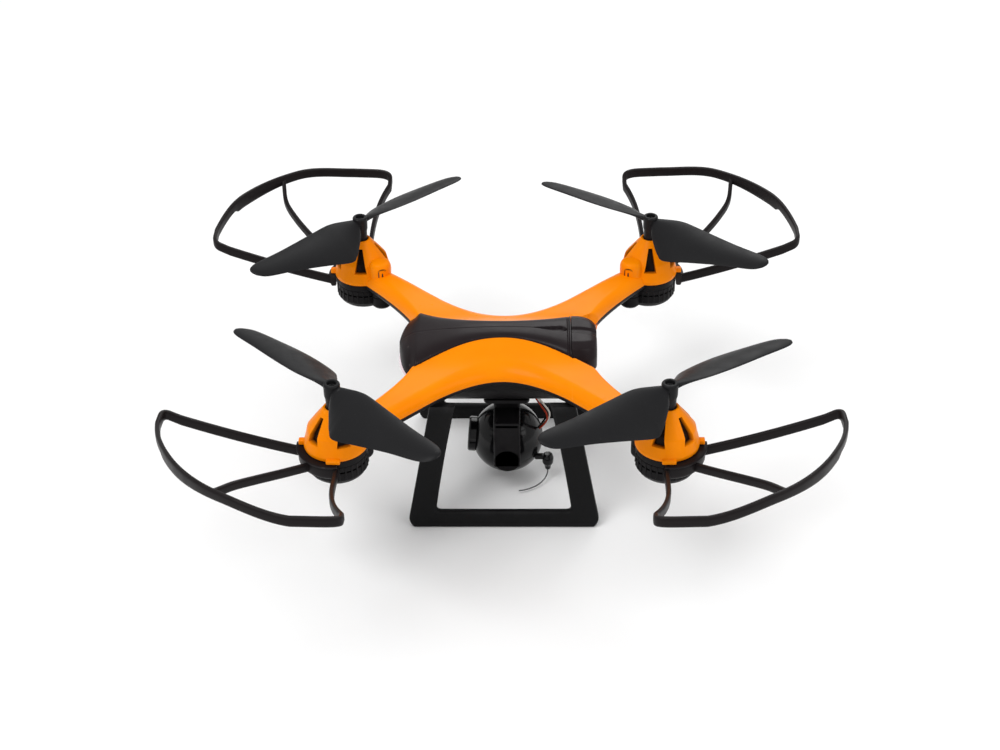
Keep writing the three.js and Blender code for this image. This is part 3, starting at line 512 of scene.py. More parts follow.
def arched_rings(a, b, base, one_edge=False, points=57, rise=0.6):
    """Sections from plan points a to b: even in angle, so that points crowd at the rim where it curves most."""
    s = (1 - np.cos(np.pi * np.linspace(0, 1, points))) / 2
    length = np.linalg.norm(b - a, axis=1)[:, None]
    xy = a[:, None] + (b - a)[:, None] * s[None, :, None]
    d = (1 - s)[None] * length if one_edge else np.minimum(s, 1 - s)[None] * length
    z = SPLIT + rise + shell_height(xy[..., 0], xy[..., 1], d)
    arch = np.concatenate([xy, z[..., None]], -1)
    foot = arch[:, [0, -1]].copy()
    foot[..., 2] = base
    return np.concatenate([foot[:, :1], arch, foot[:, 1:]], 1)


def arm_edges(t, sx, sy, shrink=0.0):
    x = 45 + 23.2 * t
    outer = np.stack([sx * x, sy * (waist_width(x) - shrink)], 1)
    inner = arm_inside(t) * [sx, sy]
    return outer, inner


MOUTH_X, MOUTH_Y = -35.1, 19.2
BAY_X, BAY_Y, BAY_LOW, BAY_TOP = 14.40, 12.40, 70.70, 83.80
x = np.linspace(MOUTH_X, 45, 161)
sections = arched_rings(np.stack([x, -waist_width(x)], 1), np.stack([x, waist_width(x)], 1), SPLIT, points=121)
bay = np.clip(sections[0], [MOUTH_X, -BAY_Y, SPLIT], [MOUTH_X, BAY_Y, BAY_TOP])  # pocket for the battery
bay_end = bay * [0, 1, 1] + [BAY_X, 0, 0]
upper_parts = [skin(np.concatenate([[bay_end, bay], sections]))]
x = np.linspace(-45, MOUTH_X, 25)
rear_strip = skin(arched_rings(
    np.stack([x, np.full_like(x, MOUTH_Y)], 1), np.stack([x, waist_width(x)], 1), SPLIT, one_edge=True))
upper_parts += [rear_strip, mirrored(rear_strip, 1)]
t = np.linspace(0, 1, 81)
for sx, sy in CORNERS.values():
    upper_parts.append(skin(arched_rings(*arm_edges(t, sx, sy), SPLIT, points=73)))
make_piece("upper_shell", upper_parts, "airframe", ORANGE, ["top_shell"], crease=50)

# %% [markdown]
# ## Rotor pods
# Each pod is a lathe shape: a short skirt, a dome and a cone with a collar. Five vents taper with the
# cone. Instead of cutting holes, the grid's own columns are bent to follow each vent's edges, and the
# columns inside are pushed in. That gives crisp edges with few faces.

# %% One vented pod
VENT_DEGREES = (-135, -67.5, 0, 67.5, 135)
VENT_LOW, VENT_HIGH = 84.2, 96.2


def pod_rings(outward):
    """Rings of the pod about its own axis, and the recess depth share at every point."""
    outline = round_corners(
        [[1.45, SPLIT], [15.6, SPLIT], [15.75, 79.3], [14.2, 84.8], [13.45, 88.2], [11.9, 90.4], [4.75, 99.5],
         [3.9, 99.5], [3.8, 95.6], [1.45, 95.6], [1.45, SPLIT]], 0.45, 4)
    span = np.concatenate([[0], np.cumsum(np.linalg.norm(np.diff(outline, axis=0), axis=1))])
    top = span[np.argmax(outline[:, 1])]
    wall = np.linspace(span[1] + 2, top, 120)
    stations = np.unique(np.concatenate([span, wall]))
    radius = np.interp(stations, span, outline[:, 0])
    height = np.interp(stations, span, outline[:, 1])
    on_wall = (stations < top) & (radius > 4)
    clamped = np.clip(height, VENT_LOW, VENT_HIGH)
    share = (clamped - VENT_LOW) / (VENT_HIGH - VENT_LOW)
    wall_radius = np.interp(clamped, height[on_wall], radius[on_wall])
    half = np.arcsin((3.5 - 2.4 * share) / wall_radius)
    columns, inside = [], []
    for k, degrees in enumerate(VENT_DEGREES):
        middle = math.radians(degrees)
        after = math.radians(VENT_DEGREES[(k + 1) % 5] + (360 if k == 4 else 0))
        across = np.array([-1, -0.93, -0.6, -0.2, 0.2, 0.6, 0.93, 1])
        columns.append(middle + half[:, None] * across)
        inside.append(np.broadcast_to(np.abs(across) < 0.99, (len(half), 8)))
        steps = np.linspace(0, 1, 30)[1:-1]
        columns.append(middle + half[:, None] + (after - middle - 2 * half)[:, None] * steps)
        inside.append(np.zeros((len(half), 28), bool))
    angle = outward + np.concatenate(columns, 1)
    pushed = np.concatenate(inside, 1) & (on_wall & (height > VENT_LOW) & (height < VENT_HIGH))[:, None]
    r = radius[:, None] - 2.8 * pushed
    rings = np.stack([r * np.cos(angle), r * np.sin(angle), np.broadcast_to(height[:, None], r.shape)], -1)
    return rings, pushed.astype(float)


MOTOR_INSET = 0.62 * 48 / 2 / math.sqrt(2)
for corner, (sx, sy) in CORNERS.items():
    outward = math.atan2(sy, sx)
    rings, pushed = pod_rings(outward)
    pod = moved(skin(rings, caps=False), offset=(sx * ROTOR, sy * ROTOR, 0))
    mx, my = sx * (ROTOR - MOTOR_INSET), sy * (ROTOR - MOTOR_INSET)
    bump = turn(round_corners([[0, SPLIT], [6.1, SPLIT], [6.15, 88.4], [5.0, 90.7], [0, 91.1]], 1.2, 8), mx, my)
    small_lug = block(14.6, 18.2, -1.6, 1.6, SPLIT, 80, 0.5)
    wide_lug = block(-3.4, 3.4, 14.4, 17.6, SPLIT, 79.4, 0.5)
    lugs = [
        moved(small_lug, np.diag([sx, 1, 1]), (sx * ROTOR, sy * ROTOR, 0)),
        moved(wide_lug, np.diag([1, sy, 1]), (sx * ROTOR, sy * ROTOR, 0)),
    ]
    parts = [pod, bump, *lugs]
    marks = np.concatenate([pushed.ravel(), np.zeros(sum(len(p[0]) for p in parts[1:]))])
    make_piece(f"rotor_pod_{corner}", parts, "airframe", ORANGE_VENTED, ["top_shell"], 34, marks)

# %% [markdown]
# Each motor bump carries a small keyhole slot and a curved slit that let heat out. The openings are not cut: thin dark
# patches stand in for them, painted shade inside the slots over the black moulding behind, following the bump's round
# face, a hair proud of it so that they never flicker.


# %% Heat slots on the motor bumps
def wrapped_slot_shade(outline, mx, my, facing, radius, thick=0.25):
    """Bends a flat closed outline (across, height) round a cylinder: angle = across / radius."""
    flat = np.asarray(outline, float)
    rings = []
    for r in (radius - thick, radius + 0.06):
        a = facing + flat[:, 0] / radius
        rings.append(np.stack([mx + r * np.cos(a), my + r * np.sin(a), flat[:, 1]], 1))
    return skin(rings)


def pill(x0, x1, z0, z1, radius, steps=6):
    ring = rounded_ring((x1 - x0) / 2, (z1 - z0) / 2, radius, steps)
    return ring + [(x0 + x1) / 2, (z0 + z1) / 2]


for corner, (sx, sy) in CORNERS.items():
    mx, my = sx * (ROTOR - MOTOR_INSET), sy * (ROTOR - MOTOR_INSET)
    inward = math.atan2(-sy, -sx)
    lean = sx * sy
    facing = inward + lean * math.radians(28)
    arc = np.linspace(0, np.pi, 14)
    band = np.concatenate([
        np.stack([2.35 * np.cos(arc), 87.2 + 1.5 * np.sin(arc)], 1),
        np.stack([-1.75 * np.cos(arc), 87.2 + 0.95 * np.sin(arc)], 1)])
    slots = [
        wrapped_slot_shade(pill(-0.45, 0.45, 83.0, 84.9, 0.44), mx, my, facing, 6.12),
        wrapped_slot_shade(pill(-0.36, 0.36, 84.7, 86.2, 0.35), mx, my, facing, 6.12),
        wrapped_slot_shade(pill(-2.35, -1.8, 83.6, 87.2, 0.26), mx, my, facing, 6.12),
    ]
    slots.append(wrapped_slot_shade(band, mx, my, facing, 6.12))
    # the dark patches are painted shade of the slot openings, over the black moulding behind
    make_piece(f"heat_slots_{corner}", slots, "airframe", BODY_BLACK)

# %% [markdown]
# ## The lower shell, cups and gear covers
# The black lower half follows the same plan a little inside the orange, so a thin shadow line shows
# between them. Below it hangs a rounded belly. Under each pod is a cup in two layers with a seam.

# %% Lower shell and belly
LOWER_TOP = SPLIT - 0.3


def underside_rings(a, b, depth, points=41):
    """Like the arch, turned over: the middle hangs lower by depth, and the top is flat."""
    s = (1 - np.cos(np.pi * np.linspace(0, 1, points))) / 2
    length = np.linalg.norm(b - a, axis=1)[:, None]
    xy = a[:, None] + (b - a)[:, None] * s[None, :, None]
    d = np.minimum(s, 1 - s)[None] * length
    z = LOWER_TOP - 0.8 - depth * np.sqrt(1 - (1 - np.clip(d / 8, 0, 1)) ** 2)
    under = np.concatenate([xy, z[..., None]], -1)
    lid = under[:, [0, -1]].copy()
    lid[..., 2] = LOWER_TOP
    return np.concatenate([lid[:, :1], under, lid[:, 1:]], 1)


x = np.linspace(-45, 45, 91)
lower_parts = [skin(underside_rings(np.stack([x, 0.4 - waist_width(x)], 1), np.stack([x, waist_width(x) - 0.4], 1), 4))]
t = np.linspace(0, 1, 41)
for sx, sy in CORNERS.values():
    lower_parts.append(skin(underside_rings(*arm_edges(t, sx, sy, 0.4), 4)))
belly_levels = np.array([
    [77.0, 27, 50.5, 10], [73.5, 26.7, 50.1, 10], [70, 26, 49.5, 10], [64, 22.5, 46.5, 9], [60, 18.5, 43, 8],
    [58.4, 16.1, 40.6, 7.2], [58, 15.0, 39.5, 6.6]])


def belly_ring(z, half, nose, tail_radius, door=False, pocket=False):
    """A rounded rectangle whose tail is notched for the battery door, and deeper for the battery itself."""
    front = tail_radius + 2
    a = np.radians(np.linspace(0, 90, 16))
    right_front = np.stack([nose - front + front * np.cos(a), half - front + front * np.sin(a)], 1)
    right_rear = np.stack([6 - nose + tail_radius - tail_radius * np.sin(a),
                           half - tail_radius + tail_radius * np.cos(a)], 1)
    tail = right_rear[-1, 0]
    if door:
        right_rear[:, 1] = np.maximum(right_rear[:, 1], MOUTH_Y)
    wall = MOUTH_X if door else tail
    steps = [[wall, right_rear[-1, 1]], [wall, BAY_Y], [BAY_X if pocket else wall, BAY_Y]]
    port = np.vstack([right_front, right_rear, steps])
    ring = np.vstack([port, port[::-1] * [1, -1]])
    return np.column_stack([ring, np.full(len(ring), z)])


DOOR_LOW = 71.2
belly = smooth_path(belly_levels, 49)
belly_rings = []
for level, below in zip(belly, [*belly[1:], None]):
    state = level[0] > DOOR_LOW, level[0] > BAY_LOW
    belly_rings.append(belly_ring(*level, *state))
    if below is not None:
        after = below[0] > DOOR_LOW, below[0] > BAY_LOW
        if after != state:  # a second ring at this height makes the notch's flat floor
            belly_rings.append(belly_ring(*level, *after))
lower_parts.append(skin(belly_rings))
for sx, sy in CORNERS.values():
    cup = round_corners([[0, 69.95], [14.2, 69.95], [14.95, 70.6], [15.05, 73.2], [14.7, 73.45], [15.05, 73.7],
                         [15.05, 76.9], [0, 76.9]], 0.3)
    lower_parts.append(turn(cup, sx * ROTOR, sy * ROTOR, 128))
    mx, my = sx * (ROTOR - MOTOR_INSET), sy * (ROTOR - MOTOR_INSET)
    lower_parts.append(turn(round_corners([[0, 69.95], [6.1, 69.95], [6.1, 76.9], [0, 76.9]], 0.4), mx, my, 64))
make_piece("lower_shell", lower_parts, "airframe", BODY_BLACK, ["bottom_shell"], crease=40)

# %% Gear covers: stepped underside
for corner, (sx, sy) in CORNERS.items():
    cover = round_corners([
        [0, 61.9], [4.2, 61.9], [4.5, 62.5], [8.8, 62.5], [9.1, 61.9], [12.2, 61.9], [13.2, 63.0], [13.6, 63.2],
        [14.6, 65.0], [14.9, 65.2], [14.9, 69.6], [0, 69.6]], 0.25)
    mx, my = sx * (ROTOR - MOTOR_INSET), sy * (ROTOR - MOTOR_INSET)
    nub = round_corners([[0, 62.4], [4.6, 62.4], [6.05, 64], [6.05, 69.6], [0, 69.6]], 0.4)
    parts = [turn(cover, sx * ROTOR, sy * ROTOR, 128), turn(nub, mx, my, 64)]
    rib = block(14.5, 15.25, -0.45, 0.45, 65.6, 72.9, 0.25)
    for turned in np.arange(-150, 151, 12):
        a = math.atan2(-sy, -sx) + math.pi + math.radians(turned)
        spun = [[math.cos(a), -math.sin(a), 0], [math.sin(a), math.cos(a), 0], [0, 0, 1]]
        parts.append(moved(rib, spun, (sx * ROTOR, sy * ROTOR, 0)))
    make_piece(f"gearbox_cover_{corner}", parts, "airframe", BODY_BLACK, [f"gear_cover_{corner}"])

# %% [markdown]
# ## The canopy and the battery door
# The canopy is an hourglass in plan that closes in a round nose. Its section is a superellipse, full at
# the shoulders. A tapered groove is pressed into the rear, and two fine lines mark the end of the lid.

# %% Canopy
def canopy_surface(x, s):
    """Height at station x and share s of the half-width."""
    half = canopy_half(x)
    over = np.clip((x - 44) / (NOSE_X - 44), 0, 1)
    top = 92.6 - 0.0016 * x**2 - 4.5 * over**2
    side_edge = SPLIT + 0.6 + crown(np.abs(x), half, np.maximum(waist_width(x) - half, 0)) + 0.15
    edge = side_edge + (SPLIT + 1 - side_edge) * step(x, 44, 48)
    y = s * half
    z = edge + (top - edge) * np.maximum(1 - np.abs(s) ** 3.2, 0) ** 0.6
    groove_half = np.clip((-14.5 - x) * 0.17, 0, 2.5) * np.sqrt(np.clip((x + 33) / 2.2, 0, 1))
    z = z - 1.3 * step(groove_half - np.abs(y), -0.15, 0.55)
    z = z - 0.45 * np.exp(-(((x + 34.1) / 0.2) ** 2)) - 0.3 * np.exp(-(((x + 33.2) / 0.16) ** 2))
    return y, z


s = np.sin(np.linspace(-np.pi / 2, np.pi / 2, 121))
x = np.concatenate([np.linspace(-35, 44.8, 321), NOSE_X - (NOSE_X - NOSE_START) * (1 - np.linspace(0, 1, 60)) ** 2])
x = np.unique(np.round(x, 6))
X, S = np.meshgrid(x, s, indexing="ij")
Y, Z = canopy_surface(X, S)
arch = np.stack([X, Y, Z], -1)
foot = arch[:, [0, -1]].copy()
foot[..., 2] = np.where(foot[..., 0] > 44.9, SPLIT + 0.05, np.where(foot[..., 0] < 0, BAY_TOP + 0.3, 80))
canopy = skin(np.concatenate([foot[:, :1], arch, foot[:, 1:]], 1))
make_piece("canopy_lid", [canopy], "airframe", CANOPY_DARK, ["canopy"], crease=42)

# %% Battery door with its thumb groove
def door_ring(x, scale):
    half, top, low = 18.8 * scale, 90.6 - 9 * (1 - scale), 71.4 + 9 * (1 - scale)
    corners = np.array([
        [half, 76], [half, 83], [half - 3, top - 1.6], [half - 8, top], [2.6, top], [1.9, top - 1.0], [-1.9, top - 1.0],
        [-2.6, top], [8 - half, top], [3 - half, top - 1.6], [-half, 83], [-half, 76], [6 - half, low],
        [half - 6, low]])
    closed = np.vstack([corners[-1:], corners, corners[:1]])
    ring = round_corners(closed, 0.8, 5)[1:-1]
    return np.column_stack([np.full(len(ring), x), ring])


door_stations = smooth_path([[-35.4, 1.0], [-37.5, 1.0], [-40, 0.99], [-43, 0.95], [-45.4, 0.89], [-47.2, 0.8],
                             [-48.1, 0.71], [-48.4, 0.62]], 40)
door = skin([door_ring(x, scale) for x, scale in door_stations])
make_piece("battery_door", [door], "battery", CANOPY_DARK, ["battery_cap"], crease=30)


# %% Headlights: one pale lens wrapped round each nose corner
def lamp_rings(side, levels=26, columns=28):
    """Rings upwards on the nose's own plan curve; the band narrows backwards and bulges in its middle."""
    v = np.linspace(0, 1, levels)[:, None]
    u = np.linspace(0, 1, columns)[None]
    low, high = 71.4 + 4.3 * u, 81.8 - 3.3 * u
    z = low + (high - low) * v
    swell = 0.8 * np.sin(np.pi * v) ** 0.5 * np.sin(np.pi * u) ** 0.3
    turned = np.radians(18 + 52 * u) + 0 * v
    c, s = np.cos(turned), np.sin(turned)
    on_belly = np.stack([38.0 + 13 * c**0.6, 27.3 * s**0.8], -1)
    on_canopy = np.stack([NOSE_START + 9.3 * c**0.769, 25.1 * s], -1)
    lean = step(z, 74, 79)[..., None]
    way = np.stack([c, s], -1)
    outer = (on_belly * (1 - lean) + on_canopy * lean + way * swell[..., None]
             - way * 0.09 * np.maximum(z - 78.5, 0)[..., None])
    inner = outer[:, ::-1] - way[:, ::-1] * 5
    flat = np.concatenate([outer, inner], 1) * [1, side]
    return np.concatenate([flat, np.concatenate([z, z[:, ::-1]], 1)[..., None]], -1)


for side, name in ((1, "left"), (-1, "right")):
    make_piece(f"nose_lamp_{name}", [skin(lamp_rings(side))], "airframe", LAMP, [f"headlight_{name}"])

# %% [markdown]
# ## Propellers
# A blade is a thin cambered aerofoil. Its edges, twist and thickness are given at a few radii, and a
# smooth curve through those numbers gives every station between. Two diagonal rotors turn the other
# way, so their blades are mirrored.

# %% Propellers
BLADE = [[2.4, 2.4, 3.4, 30, 3.4], [5.5, 3.2, 8.5, 33, 2.9], [10, 4.4, 13.5, 32, 2.3],
         [15, 5.6, 18.2, 29.5, 1.9], [21, 6, 21, 26.5, 1.7],
         [36, 4.8, 18, 20, 1.4], [53, 3.3, 13.6, 15.5, 1.2], [68, 2.5, 10, 13, 1], [73, 0.9, 6.6, 12, 0.9],
         [74.6, -1.2, 3.6, 12, 0.6]]
BLADE_AXIS_Z = 109.6


def blade_rings(count=110, across=22):
    """Sections: camber 4 c s (1-s), thickness fullest at a third of the chord, both turned by the twist."""
    r, ahead, behind, twist, thick = smooth_path(BLADE, count).T[:, :, None]
    u = (1 - np.cos(np.pi * np.linspace(0, 1, across))) / 2
    s = np.concatenate([u, u[-2:0:-1]])[None]
    face = np.concatenate([np.ones(across), -np.ones(across - 2)])[None]
    chord = ahead + behind
    up = 0.07 * chord * 4 * s * (1 - s) + face * thick * (0.12 + 3.1 * np.sqrt(s + 1e-6) * (1 - s) ** 0.9) / 2.6
    level = ahead - s * chord
    a = np.radians(twist)
    return np.stack(np.broadcast_arrays(
        r, level * np.cos(a) - up * np.sin(a), BLADE_AXIS_Z + level * np.sin(a) + up * np.cos(a)), -1)


HUB = round_corners([[0, 96.4], [3.3, 96.4], [3.5, 104], [3.95, 106], [4.05, 112.3], [3.5, 113], [2.5, 113],
                     [2.3, 112.6], [2.25, 110.0], [0, 110.0]], 0.35)
SPINS = {"front_left": (137, 1), "rear_left": (32, -1), "front_right": (43, -1), "rear_right": (144, 1)}
blade_stack = blade_rings()
for corner, (degrees, spin) in SPINS.items():
    sx, sy = CORNERS[corner]
    a = math.radians(degrees)
    spun = np.array([[math.cos(a), -math.sin(a), 0], [math.sin(a), math.cos(a), 0], [0, 0, 1]])
    blades = [skin(blade_stack * [sign, sign * spin, 1]) for sign in (1, -1)]
    parts = [moved(p, spun, (sx * ROTOR, sy * ROTOR, 0)) for p in (*blades, turn(HUB, segments=64))]
    make_piece(f"rotor_blades_{corner}", parts, f"rotor_{corner}", PROP_DARK,
               [f"propeller_{corner}"], crease=45)

# %% [markdown]
# ## Propeller guards
# Each guard is a frame of upright bar: two legs that rise outwards, a rim that steps up in the middle,
# and a bent spoke. The bar is one rounded section carried along a path.

# %% Guards
RIM = 83.2


def spoke_height(r):
    """A parabola from the bracket, 72.8 mm up, to the rim."""
    t = (r - 18) / 66.6
    return 72.8 + 18.2 * t + 4.6 * t**2


def polar(r, degrees, z):
    a = np.radians(degrees)
    return np.stack(np.broadcast_arrays(r * np.cos(a), r * np.sin(a), z), -1)


def ribbon(path, low, high, width=2.4):
    """An upright bar whose height may change along its path: half-heights low and high under and over the line."""
    path = np.asarray(path, float)
    along = np.gradient(path[:, :2], axis=0)
    along /= np.linalg.norm(along, axis=1, keepdims=True)
    side = np.stack([-along[:, 1], along[:, 0]], 1)
    section = rounded_ring(0.5, 0.5, 0.28, 5)
    across, upward = section[None, :, 0, None] * width, section[None, :, 1]
    flat = path[:, None, :2] + side[:, None] * across
    middle = path[:, 2] + (high - low) / 2
    z = middle[:, None] + upward * (low + high)[:, None]
    return skin(np.concatenate([flat, z[..., None]], -1))


angles = np.linspace(8, 82, 90)
rim_line = polar(RIM, angles, 101 - 4.6 * step(np.abs(angles - 45), 14, 40))
leg_r = np.linspace(16.5, 74, 30)
share = (leg_r - 16.5) / 57.5
side_leg = polar(leg_r, 94 - 10 * share * (1 - share) + 4 * (leg_r / 74) ** 2, spoke_height(leg_r))
side_bend = round_corners([side_leg[-1], polar(82.9, 97.5, 95.8), rim_line[-1]], 12, 14)[1:-1]
end_leg = polar(leg_r, 0, spoke_height(leg_r))
end_bend = round_corners([end_leg[-1], [82.3, 0, 95.7], rim_line[0]], 20, 14)[1:-1]
loop = np.vstack([end_leg, end_bend, rim_line, side_bend[::-1], side_leg[::-1]])
loop_turn = np.degrees(np.arctan2(loop[:, 1], loop[:, 0]))
on_rim = np.hypot(loop[:, 0], loop[:, 1]) > 80
deep = 2.7 + 2.2 * on_rim * step(loop_turn, 24, 27) * (1 - step(loop_turn, 32, 60))
loop_bar = ribbon(loop, deep, np.full(len(loop), 2.7))
spoke_r = np.array([18, 32, 48, 62, 74, RIM - 0.4])
spoke_z = spoke_height(spoke_r)
spoke_z[-1] = 99.6
spoke = smooth_path(polar(spoke_r, 45 + 7 * (np.arange(6) / 5) ** 3, spoke_z), 60)
spoke_bar = ribbon(spoke, np.full(60, 2.5), np.full(60, 2.2), 2.4)
clip_angles = np.linspace(-6, 96, 60)
clip = ribbon(polar(17.15, clip_angles, 72.95), np.full(60, 3.5), np.full(60, 3.5), 3.25)
lip = ribbon(polar(17.4, clip_angles, 76.6), np.full(60, 0.5), np.full(60, 0.5), 4.2)
guard_parts = [loop_bar, spoke_bar, clip, lip]
for corner, (sx, sy) in CORNERS.items():
    placed = [moved(p, np.diag([sx, sy, 1]), (sx * ROTOR, sy * ROTOR, 0)) for p in guard_parts]
    make_piece(f"blade_guard_{corner}", placed, "airframe", GUARD_BLACK, [f"guard_{corner}"], crease=50)

# %% [markdown]
# ## Landing skids
# A skid is a flat U-shaped frame. We draw its outer and inner outlines with matching points, and join
# them across with a rounded edge, then lean the whole frame outwards by seven degrees.

# %% Skids
def quadratic(a, b, c, count):
    a, b, c = (np.array(p, float) for p in (a, b, c))
    t = np.linspace(0, 1, count)[:, None]
    return (1 - t) ** 2 * a + 2 * t * (1 - t) * b + t**2 * c


def skid_rings():
    half, thick = 49.5, 5.0
    lean = math.radians(7)
    corner_a = np.radians(np.linspace(176, 270, 18))
    outer_corner = np.stack([-half + 7 + 7 * np.cos(corner_a), 5 + 7 * np.sin(corner_a)], 1)
    outer = np.vstack([quadratic([-37, 71.5], [-43.2, 38], outer_corner[0], 30)[:-1], outer_corner,
                       np.stack([np.linspace(-42, 0, 20), np.full(20, -2.0)], 1)[1:]])
    inner_corner = quadratic([-34.9, 12], [-35.2, 9], [-32.1, 9], 18)
    inner = np.vstack([quadratic([-24, 71.5], [-30, 45], inner_corner[0], 30)[:-1], inner_corner,
                       np.stack([np.linspace(-32.1, 0, 20), np.full(20, 9.0)], 1)[1:]])
    outer = np.vstack([outer, outer[-2::-1] * [-1, 1]])
    inner = np.vstack([inner, inner[-2::-1] * [-1, 1]])
    outer[:, 1] = np.maximum(outer[:, 1], -0.2)
    across = inner - outer
    across /= np.linalg.norm(across, axis=1, keepdims=True)
    a = np.linspace(0, np.pi / 2, 4)
    rows = []
    for line, sign, edge, flips in ((outer, 1, 0.9, (False, True)), (inner, -1, 2.1, (True, False))):
        near, deep = edge * (1 - np.sin(a)), edge * (1 - np.cos(a))
        for far_face in flips:
            pairs = list(zip(near, deep))
            if far_face == (sign > 0):
                pairs = pairs[::-1]
            rows += [(line, sign, d, thick - e if far_face else e) for d, e in pairs]
    ring = []
    for line, sign, d, y in rows:
        flat = line + sign * across * d
        z = flat[:, 1]
        ring.append(np.stack([flat[:, 0], 46 + y * math.cos(lean) - z * math.sin(lean),
                              np.maximum(y * math.sin(lean) + z * math.cos(lean), 0.03)], 1))
    return np.stack(ring, 1)


skid = skin(skid_rings())
for side, name in ((0, "left"), (1, "right")):
    part = mirrored(skid, 1) if side else skid
    make_piece(f"skid_{name}", [part], "airframe", SKID_BLACK, [f"landing_skid_{name}"], crease=42)

# %% [markdown]
# ## Camera
# The camera is a polished ball held in a fork. It is two half shells with a seam, flattened at the
# pivots. The lens looks five degrees up, in a stepped ring with a dark coated glass.

# %% Fork
BALL = np.array([-1.5, 0, 22.2])
BALL_R = 19.1


def side_disc(radius, y0, y1, x, z, edge=0.5):
    """A disc with rounded rims whose axis is along Y."""
    profile = round_corners([[0, y0], [radius, y0], [radius, y1], [0, y1]], edge)
    disc = turn(profile, segments=64)
    return moved(disc, [[1, 0, 0], [0, 0, 1], [0, 1, 0]], (x, 0, z))


fork_parts = [
    block(-13.5, 10.5, -17, 17, 55.2, 57.7, 0.8, 3.0),
    block(-8.5, 5.5, -8, 8, 44, 56.4, 0.8, 1.6),
    block(-8.5, 5.5, -22.6, 22.6, 43, 46.4, 0.9, 1.2),
    block(-8.5, 5.5, 20, 22.6, 18, 46, 0.7, 0.9), block(-8.5, 5.5, -22.6, -20, 18, 46, 0.7, 0.9),
    side_disc(7, 20, 22.6, BALL[0], BALL[2]), side_disc(7, -22.6, -20, BALL[0], BALL[2]),
    side_disc(2, 16, 20.5, BALL[0], BALL[2]), side_disc(2, -20.5, -16, BALL[0], BALL[2]),
]
make_piece("camera_fork", fork_parts, "airframe", BODY_BLACK, ["camera_mount"])

# %% Ball, ring and glass
LENS_UP = math.radians(-5)
NOD = np.array([[math.cos(LENS_UP), 0, math.sin(LENS_UP)], [0, 1, 0], [-math.sin(LENS_UP), 0, math.cos(LENS_UP)]])
ALONG_X = np.array([[0, 0, 1], [1, 0, 0], [0, 1, 0]])


def ball_rings():
    """A sphere in polar rings about the lens axis, with a fine seam round the middle and two flat cheeks."""
    a = np.linspace(0, np.pi, 121)[:, None]
    b = np.linspace(0, 2 * np.pi, 144, endpoint=False)[None]
    across = BALL_R * np.cos(a) + 0 * b
    seam = 1 - 0.028 * np.exp(-((across / 0.25) ** 2))
    y = np.clip(BALL_R * np.sin(a) * np.cos(b) * seam, -18.2, 18.2)
    z = BALL_R * np.sin(a) * np.sin(b) * seam
    return np.stack([across, y, z], -1)


ball = moved(skin(ball_rings(), caps=False), NOD, BALL)
make_piece("camera_ball", [ball], "camera", GLOSS_BLACK,
           ["camera_front_shell", "camera_rear_shell"], crease=25)
ring_profile = round_corners([[4.95, 17], [9.4, 17], [9.4, 20.4], [8.7, 21.2], [7.7, 21.2], [7.3, 20.2], [6.6, 19.6],
                              [6.2, 19.0], [4.95, 18.7], [4.95, 17]], 0.25)
ring = moved(moved(turn(ring_profile), ALONG_X), NOD, BALL)
make_piece("lens_bezel", [ring], "camera", GLOSS_BLACK, ["lens_ring"])
dome_r = np.linspace(0, 4.9, 24)
dome = np.vstack([[[0, 16.6], [4.9, 16.6]],
                  np.column_stack([dome_r[::-1], 17.4 + 1.5 * (1 - (dome_r[::-1] / 4.9) ** 2)])])
glass = moved(moved(turn(dome), ALONG_X), NOD, BALL)
make_piece("lens_dome", [glass], "camera", LENS_GLASS, ["lens_glass"])

# %% [markdown]
# ## Antenna and leads
# The antenna is stiff wire that leaves a moulded sleeve on the back of the ball. About 23 mm of it hangs
# free. The other 8 mm, inside the sleeve, is assumed: it makes up a 2.4 GHz quarter wave, 31 mm. The camera's lead is a
# bundle of three thin wires from a plug in the belly to the back of the ball. The wires have to bend when the camera
# nods; here they are fixed in place and ride on neither body.

# %% Sleeve and antenna wire
SLEEVE_X, SLEEVE_Y = -23.2, 10.0
sleeve = turn(round_corners([[0, 7.6], [1.4, 7.6], [1.8, 10.2], [2.9, 12], [3.15, 15.2], [2.3, 17.7], [0, 17.7]], 0.7),
              SLEEVE_X, SLEEVE_Y, 48)
stem = block(SLEEVE_X, -16.2, 8.5, 11.5, 14.6, 17.2, 0.6)
boot = make_piece("antenna_sleeve", [sleeve, stem], "camera", GLOSS_BLACK, ["antenna_boot"])

WHIP_ROUTE = [
    [-23.2, 10, 7.3], [-23, 10.8, 5.4], [-22.2, 12.4, 3.9], [-20.8, 14.4, 3], [-18.8, 16.6, 2.4],
    [-16.4, 18.6, 2.1], [-13.6, 20.3, 2], [-10.6, 21.6, 2], [-7.6, 22.4, 2.1]]
WHIP_LENGTH, WHIP_WIDTH = 31.0, 0.7
free = smooth_path(WHIP_ROUTE, 33)
free_length = np.linalg.norm(np.diff(free, axis=0), axis=1).sum()
inside_z = 7.3 + WHIP_LENGTH - free_length
whip_points = np.vstack([[[SLEEVE_X, SLEEVE_Y, z] for z in np.linspace(inside_z, 7.3, 5)[:-1]], free])
print("antenna: free", round(free_length, 2), "mm, inside the sleeve", round(WHIP_LENGTH - free_length, 2), "mm")
line = bpy.data.curves.new("antenna_wire", "CURVE")
line.dimensions = "3D"
line.bevel_depth = WHIP_WIDTH / 2 * MM
line.bevel_resolution = 4
line.use_fill_caps = True
spline = line.splines.new("POLY")
spline.points.add(len(whip_points) - 1)
spline.points.foreach_set(
    "co", np.column_stack([whip_points * MM, np.ones(len(whip_points))]).astype(np.float32).ravel())
line.materials.append(SLEEVE_GREY)
whip = bpy.data.objects.new("antenna_wire", line)
bpy.context.scene.collection.objects.link(whip)
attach(whip, "camera")
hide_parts("antenna_whip")

